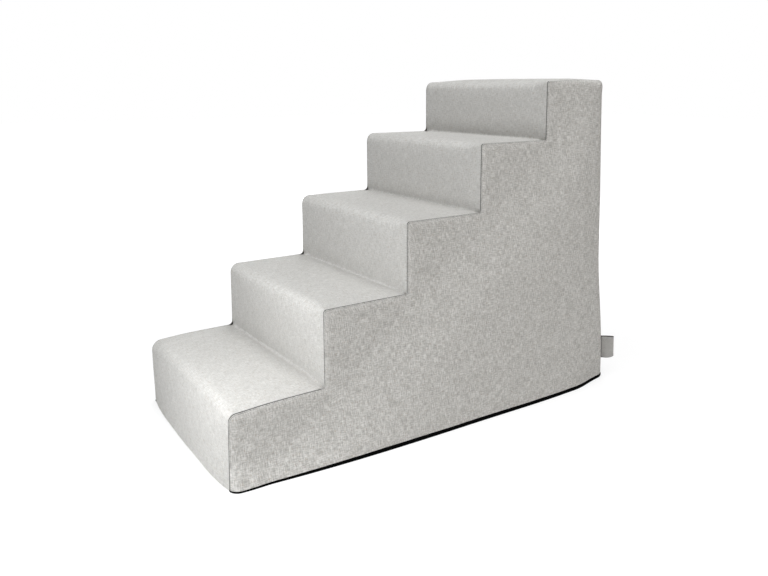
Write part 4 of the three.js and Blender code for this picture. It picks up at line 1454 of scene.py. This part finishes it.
class STEPS_OT_foam(bpy.types.Operator):
    """Makes the glued foam slabs, eased a little inside the cover"""

    bl_idname = "steps.foam"
    bl_label = "Foam core"

    def execute(self, context):
        sizes = context.scene.steps_cover
        for number in range(STEP_COUNT):
            name = f"foam_slab_{number + 1}"
            work = merged_copy(name, FOAM_FLAT)
            sharp = [e for e in work.edges if e.is_convex and e.calc_face_angle(0) > FOAM_CORNER]
            bmesh.ops.bevel(work, geom=sharp, offset=FOAM_CHAMFER, segments=1, affect="EDGES")
            bmesh.ops.triangulate(work, faces=work.faces)
            while True:
                long_edges = [e for e in work.edges if e.calc_length() > FOAM_SPACING]
                if not long_edges:
                    break
                bmesh.ops.subdivide_edges(work, edges=long_edges, cuts=1)
                bmesh.ops.triangulate(work, faces=work.faces)
            x, y, z = np.array([tuple(v.co) for v in work.verts]).T
            outer = smooth_step(np.abs(x), CHAIN_X + OPENING, STRIP_HIGH.x)
            x = x - np.sign(x) * FOAM_EASE * outer
            y = y + FOAM_EASE * (y < BACK - CORNER_ROLL)
            z = z - FOAM_EASE * smooth_step(z, 0, TREADS[0] / 2)
            place = sagged(sizes, np.stack([x, y, z], -1))
            for vert, spot in zip(work.verts, place):
                vert.co = spot
            mesh = bpy.data.meshes.new(f"{name}_cut")
            work.to_mesh(mesh)
            work.free()
            mesh.shade_flat()
            dress(linked(f"{name}_cut", mesh), "steps", "foam", foam(), name)
        return {"FINISHED"}


def merged_copy(name, flat):
    """A frame node's mesh, with its triangles joined where they meet at less than an angle."""
    work = bmesh.new()
    work.from_mesh(bpy.data.objects[name].data)
    bmesh.ops.remove_doubles(work, verts=work.verts, dist=FRAME_JOIN)
    bmesh.ops.dissolve_limit(work, angle_limit=flat, verts=work.verts, edges=work.edges)
    return work


class STEPS_OT_label(bpy.types.Operator):
    """Makes the bare loop label in the seam at the back right corner"""

    bl_idname = "steps.label"
    bl_label = "Loop label"

    def execute(self, context):
        sizes, trim = context.scene.steps_cover, context.scene.steps_trim
        reach = LABEL_REACH - LABEL_HALF
        layer_points, end_points, levels = LABEL_POINTS
        straight = np.concatenate([[-LABEL_TUCK], np.linspace(0, reach, layer_points)])
        angles = np.linspace(-math.pi / 2, math.pi / 2, end_points)[1:-1]
        out = np.concatenate([straight, reach + LABEL_HALF * np.cos(angles), straight[::-1]])
        layer = np.full(len(straight), LABEL_HALF)
        aside = np.concatenate([-layer, LABEL_HALF * np.sin(angles), layer])
        steps = np.hypot(np.diff(out), np.diff(aside))
        along = np.concatenate([[0], np.cumsum(steps)])
        height = np.linspace(LABEL_LOW.z, LABEL_HIGH.z + LABEL_RISE, levels)
        seam, _ = back_face(np.full(len(height), SEAM_WIDTH), height)
        root = settled(sizes, seam)
        ahead = np.array([math.sqrt(0.5), math.sqrt(0.5), 0])
        across = ahead * (-1, 1, 0)
        points, flat = [], []
        for z, place in zip(height, root):
            share = (z - height[0]) / (height[-1] - height[0])
            bow = LABEL_BOW * math.sin(math.pi * share) * (out / reach) ** 2
            pinch = 1 - LABEL_PINCH * np.exp(-((out / LABEL_PINCHED) ** 2))
            spot = place + ahead * out[:, None] + across * (aside * pinch + bow)[:, None]
            lift = LABEL_CURL * (1 - share) ** 6 * np.clip(out / reach, 0, None) ** 4
            spot[:, 2] = z + lift
            points.append(spot)
            flat.append(np.stack([along, np.full(len(along), z)], -1))
        label = cloth(
            "side_label_ribbon",
            np.concatenate(points),
            grid_faces(len(height), len(out)),
            np.concatenate(flat),
            self.shade_gap(out, height),
            thickness=LABEL_THICK,
            outwards=tuple(root.mean(0) + ahead * reach / 2),
        )
        dress(label, "steps", "label", label_ribbon(), "side_label")
        return {"FINISHED"}

    @staticmethod
    def shade_gap(out, height):
        """How far a point is from the label's root and its upper and lower edges, which get painted
        shade.
        """
        to_root = np.tile(np.clip(out, 0, None), len(height))
        level = np.repeat(height, len(out))
        upper, lower = LABEL_EDGE_SHADES
        to_edge = np.minimum(upper * (height[-1] - level), lower * (level - height[0]))
        return np.minimum(to_root, to_edge)


# ---------------------------------------------------------------- zip and stitching


class STEPS_OT_zip(bpy.types.Operator):
    """Makes the zip's tapes and coils, and rounds the edges of its metal parts"""

    bl_idname = "steps.zip"
    bl_label = "Zip"

    def execute(self, context):
        closing = END_TAPE_LOW.z
        self.tape("zip_tape_cover", -TAPE_HIGH.z, TAPE_HIGH.z, 1, "steps")
        self.tape("zip_tape_flap", -closing + SEAM_LINE, FOLD - SEAM_LINE, -1, None)
        self.tape("zip_tape_closing_end", -END_TAPE_HIGH.z, -closing, -1, "steps")
        right, left = START_STOP_FOOT - SEAM_LINE, END_COIL_HIGH.z
        self.coil("zip_coil_cover", -left, right, 1, "steps")
        self.coil("zip_coil_flap", -closing + SEAM_LINE, right, -1, "flap")
        self.coil("zip_coil_closing_end", -left, -closing, -1, "steps")
        bodies = {"zip_slider": "slider", "zip_pull": "pull", "zip_start_stop": "flap"}
        bodies |= {"zip_end_stop_cover": "steps", "zip_end_stop_flap": "steps"}
        for name, body in bodies.items():
            self.metal(name, body)
        return {"FINISHED"}

    @staticmethod
    def span(start, end):
        """Distances along the run for signed heights on its legs, minus on the left."""
        return [math.copysign(run_length(abs(height)), height) for height in (start, end)]

    def tape(self, name, start, end, side, body):
        start, end = self.span(start, end)
        distance = np.linspace(start, end, max(2, round((end - start) / CLOTH_SPACING)))
        offset = side * np.linspace(CHAIN_SLIT, TAPE_REACH, TAPE_COLUMNS)
        distance, offset = (grid.ravel() for grid in np.meshgrid(distance, offset, indexing="ij"))
        x, z = run_place(distance, offset)
        tape = cloth(
            f"{name}_woven",
            np.stack([x, np.full(len(x), TAPE_FACE), z], -1),
            grid_faces(len(x) // TAPE_COLUMNS, TAPE_COLUMNS),
            np.stack([offset, distance], -1),
            thickness=TAPE_FACE - TAPE_LOW.y,
        )
        dress(tape, body, "zip_tape", zip_tape(), name)
        if not body:
            hang(tape)

    def coil(self, name, start, end, side, body):
        trim = bpy.context.scene.steps_trim
        pitch, wire = trim.tooth_pitch, trim.coil_wire
        start, end = self.span(start, end)
        phase = side * pitch / 4  # the two rows' turns lie between each other
        first, last = math.ceil((start + wire - phase) / pitch), (end - wire - phase) / pitch
        distance = np.arange(first, math.floor(last) + 1) * pitch + phase
        x, z = run_place(distance, side * (COIL_MESH + CHAIN_HALF) / 2)
        middle = (COIL_LOW.y + COIL_HIGH.y) / 2
        sizes = {
            "Width": CHAIN_HALF - COIL_MESH - wire,
            "Height": COIL_HIGH.y - COIL_LOW.y - wire,
            "Wire": wire,
        }
        row = repeated(
            f"{name}_turns",
            coil_turns(),
            coil_nylon(),
            np.stack([x, np.full(len(x), middle), z], -1),
            run_ahead(distance),
            (0, 1, 0),
            **sizes,
        )
        dress(row, body, "zip_coil", coil_nylon(), name)

    @staticmethod
    def metal(name, body):
        work = merged_copy(name, METAL_FLAT)
        mesh = bpy.data.meshes.new(f"{name}_cast")
        work.to_mesh(mesh)
        work.free()
        piece = linked(f"{name}_cast", mesh)
        rounded = piece.modifiers.new("edges", "BEVEL")
        rounded.width = METAL_EDGE
        rounded.segments = 2
        rounded.angle_limit = METAL_CORNER
        settle(piece)
        piece.data.shade_smooth()
        piece.data.set_sharp_from_angle(angle=METAL_SHARP)
        dress(piece, body, "zip_metal", zip_metal(), name)


class STEPS_OT_stitching(bpy.types.Operator):
    """Sews the rows of stitches along the folded edges beside the zip"""

    bl_idname = "steps.stitching"
    bl_label = "Stitching"

    def execute(self, context):
        sizes, trim = context.scene.steps_cover, context.scene.steps_trim
        pitch = trim.stitch_pitch
        end = run_length(FOLD - STITCH_END)
        distance = np.arange(-end, end, pitch)
        gap = np.full(len(distance), HEM_STITCH)
        x, z = run_place(distance, OPENING + HEM_STITCH)
        border = border_place(sizes, x, z, np.full(len(x), 1.0), gap)
        x, z = run_place(distance, -OPENING - HEM_STITCH)
        flap = flap_place(sizes, x, z)
        ahead = run_ahead(distance)
        form = {"Length": STITCH_SHARE * pitch, "Thread": trim.thread}
        rows = (("border_stitches", border, "steps"), ("flap_stitches", flap, None))
        for name, points, body in rows:
            thread = sewing_thread()
            row = repeated(name, stitches(), thread, points, ahead, (0, 1, 0), **form)
            dress(row, body, "linen", thread)
            if not body:
                hang(row)
        return {"FINISHED"}


# ---------------------------------------------------------------- light, floor and camera

COOL, WARM = (0.972, 0.987, 1.0), (1.0, 0.97, 0.935)
# Each lamp's place, what it points at, its width, its power and its colour.
LAMPS = {
    "top_light": ((0.3, -0.2, 2.2), (0, 0, 0.2), 1.8, 38.5, COOL),
    "side_light": ((1.8, 0.1, 0.7), (0.2, 0, 0.25), 1.0, 9.1, WARM),
    "front_light": ((0, -2, 0.5), (0, -0.1, 0.25), 1.2, 6.8, COOL),
    "near_light": ((0.18, -0.64, 0.35), (0.19, -0.22, 0.2), 0.2, 1.65, COOL),
    "back_light": ((-1.85, 1.55, 0.65), (0, 0, 0.25), 1.4, 36, COOL),
}
WORLD_LIGHT = 0.1  # the world's strength as a light; as a background it is 1
FLOOR_HALF = 12.0
CONTACT_REACH = 40 * MM  # how far from the object a contact shadow is painted into the floor's glow
CONTACT_SHADE = 0.86  # how bright the painted contact shadow leaves the glow right beside the object
FLOOR_CLOSE = 0.8  # how bright it is close by
FLOOR_NEAR, FLOOR_FAR = 0.6, 1.8  # from the middle, between which it grows to white
FLOOR_LIGHT, FLOOR_SEEN = 0.8, 0.25  # how much light it throws back, onto things and to the eye
CAMERA_PLACE = (1.1061, -0.7385, 0.5592)
CAMERA_AZIMUTH, CAMERA_ELEVATION = math.radians(54.8), math.radians(8.4)
CAMERA_LENS, CAMERA_SENSOR = 34.45, 36
CAMERA_SHIFT = (-0.025, -0.1189)


def seen_ray(tree):
    """1 for rays from the camera and those it gets by reflection or through glass."""
    ray = node(tree, "ShaderNodeLightPath").outputs
    seen = maths(tree, "MAXIMUM", ray["Is Camera Ray"], ray["Is Glossy Ray"])
    return maths(tree, "MAXIMUM", seen, ray["Is Transmission Ray"])


class STEPS_OT_stage(bpy.types.Operator):
    """Sets the floor, the lamps, the world and the camera"""

    bl_idname = "steps.stage"
    bl_label = "Floor, light and camera"

    def execute(self, context):
        scene = context.scene
        scene.view_settings.view_transform = "Standard"
        self.floor()
        self.world(scene)
        for name, settings in LAMPS.items():
            self.lamp(name, *settings)
        self.camera(scene)
        return {"FINISHED"}

    @staticmethod
    def floor():
        mesh = bpy.data.meshes.new("floor")
        half = FLOOR_HALF
        corners = [(-half, -half, 0), (half, -half, 0), (half, half, 0), (-half, half, 0)]
        mesh.from_pydata(corners, [], [(0, 1, 2, 3)])
        floor = linked("floor", mesh)
        material = bpy.data.materials.new("Floor")
        material.use_nodes = True
        tree = material.node_tree
        tree.nodes.clear()
        seen = seen_ray(tree)
        shade = remapped(tree, seen, 0, 1, FLOOR_LIGHT, FLOOR_SEEN)
        white = node(tree, "ShaderNodeBsdfDiffuse", {"Color": shade})
        # Painted shadow: ambient occlusion darkens the floor's glow right beside the object.
        near = node(tree, "ShaderNodeAmbientOcclusion", {"Distance": CONTACT_REACH}).outputs["AO"]
        place = node(tree, "ShaderNodeTexCoord").outputs["Object"]
        away = node(tree, "ShaderNodeVectorMath", {0: place}, operation="LENGTH").outputs["Value"]
        clear = remapped(tree, away, FLOOR_NEAR, FLOOR_FAR, FLOOR_CLOSE, 1.0)
        painted_contact_shadow = remapped(tree, near, 0.3, 0.8, CONTACT_SHADE, 1)
        strength = maths(tree, "MULTIPLY", painted_contact_shadow, clear)
        strength = maths(tree, "MULTIPLY", strength, seen)
        glow = node(tree, "ShaderNodeEmission", {"Color": (1, 1, 1, 1), "Strength": strength})
        both = node(tree, "ShaderNodeAddShader", {0: white.outputs[0], 1: glow.outputs[0]})
        node(tree, "ShaderNodeOutputMaterial", {"Surface": both.outputs[0]})
        mesh.materials.append(material)

    @staticmethod
    def world(scene):
        world = bpy.data.worlds.new("Studio")
        scene.world = world
        world.use_nodes = True
        tree = world.node_tree
        tree.nodes.clear()
        strength = remapped(tree, seen_ray(tree), 0, 1, WORLD_LIGHT, 1.0)
        values = {"Color": (1, 1, 1, 1), "Strength": strength}
        back = node(tree, "ShaderNodeBackground", values)
        node(tree, "ShaderNodeOutputWorld", {"Surface": back.outputs[0]})

    @staticmethod
    def lamp(name, place, target, size, power, colour):
        light = bpy.data.lights.new(name, "AREA")
        light.shape = "SQUARE"
        light.size = size
        light.energy = power
        light.color = colour
        lamp = linked(name, light)
        lamp.location = place
        lamp.visible_camera = False
        toward = Vector(target) - Vector(place)
        lamp.rotation_euler = toward.to_track_quat("-Z", "Y").to_euler()

    @staticmethod
    def camera(scene):
        data = bpy.data.cameras.new("camera")
        data.sensor_width = CAMERA_SENSOR
        data.lens = CAMERA_LENS
        data.shift_x, data.shift_y = CAMERA_SHIFT
        camera = linked("camera", data)
        camera.location = CAMERA_PLACE
        level = math.cos(CAMERA_ELEVATION)
        right, ahead = math.sin(CAMERA_AZIMUTH) * level, -math.cos(CAMERA_AZIMUTH) * level
        back = Vector((right, ahead, math.sin(CAMERA_ELEVATION)))
        camera.rotation_euler = (-back).to_track_quat("-Z", "Y").to_euler()
        scene.camera = camera


class STEPS_PT_build(bpy.types.Panel):
    bl_label = "Dog steps"
    bl_space_type = "VIEW_3D"
    bl_region_type = "UI"
    bl_category = "Dog steps"

    def draw(self, context):
        for operator in OPERATORS:
            self.layout.operator(operator.bl_idname)
        for sizes in (context.scene.steps_cover, context.scene.steps_trim):
            box = self.layout.box()
            for name in sizes.bl_rna.properties.keys():
                if name not in ("rna_type", "name"):
                    box.prop(sizes, name)


OPERATORS = (
    STEPS_OT_stage,
    STEPS_OT_tread_strip,
    STEPS_OT_side_panels,
    STEPS_OT_back,
    STEPS_OT_base,
    STEPS_OT_foam,
    STEPS_OT_label,
    STEPS_OT_zip,
    STEPS_OT_stitching,
)
CLASSES = (CoverSizes, TrimSizes, *OPERATORS, STEPS_PT_build)


def register():
    for kind in CLASSES:
        bpy.utils.register_class(kind)
    bpy.types.Scene.steps_cover = bpy.props.PointerProperty(type=CoverSizes)
    bpy.types.Scene.steps_trim = bpy.props.PointerProperty(type=TrimSizes)


def unregister():
    del bpy.types.Scene.steps_trim
    del bpy.types.Scene.steps_cover
    for kind in reversed(CLASSES):
        bpy.utils.unregister_class(kind)


def main():
    register()
    for operator in OPERATORS:
        group_name, name = operator.bl_idname.split(".")
        getattr(getattr(bpy.ops, group_name), name)()


if __name__ == "__main__":
    main()
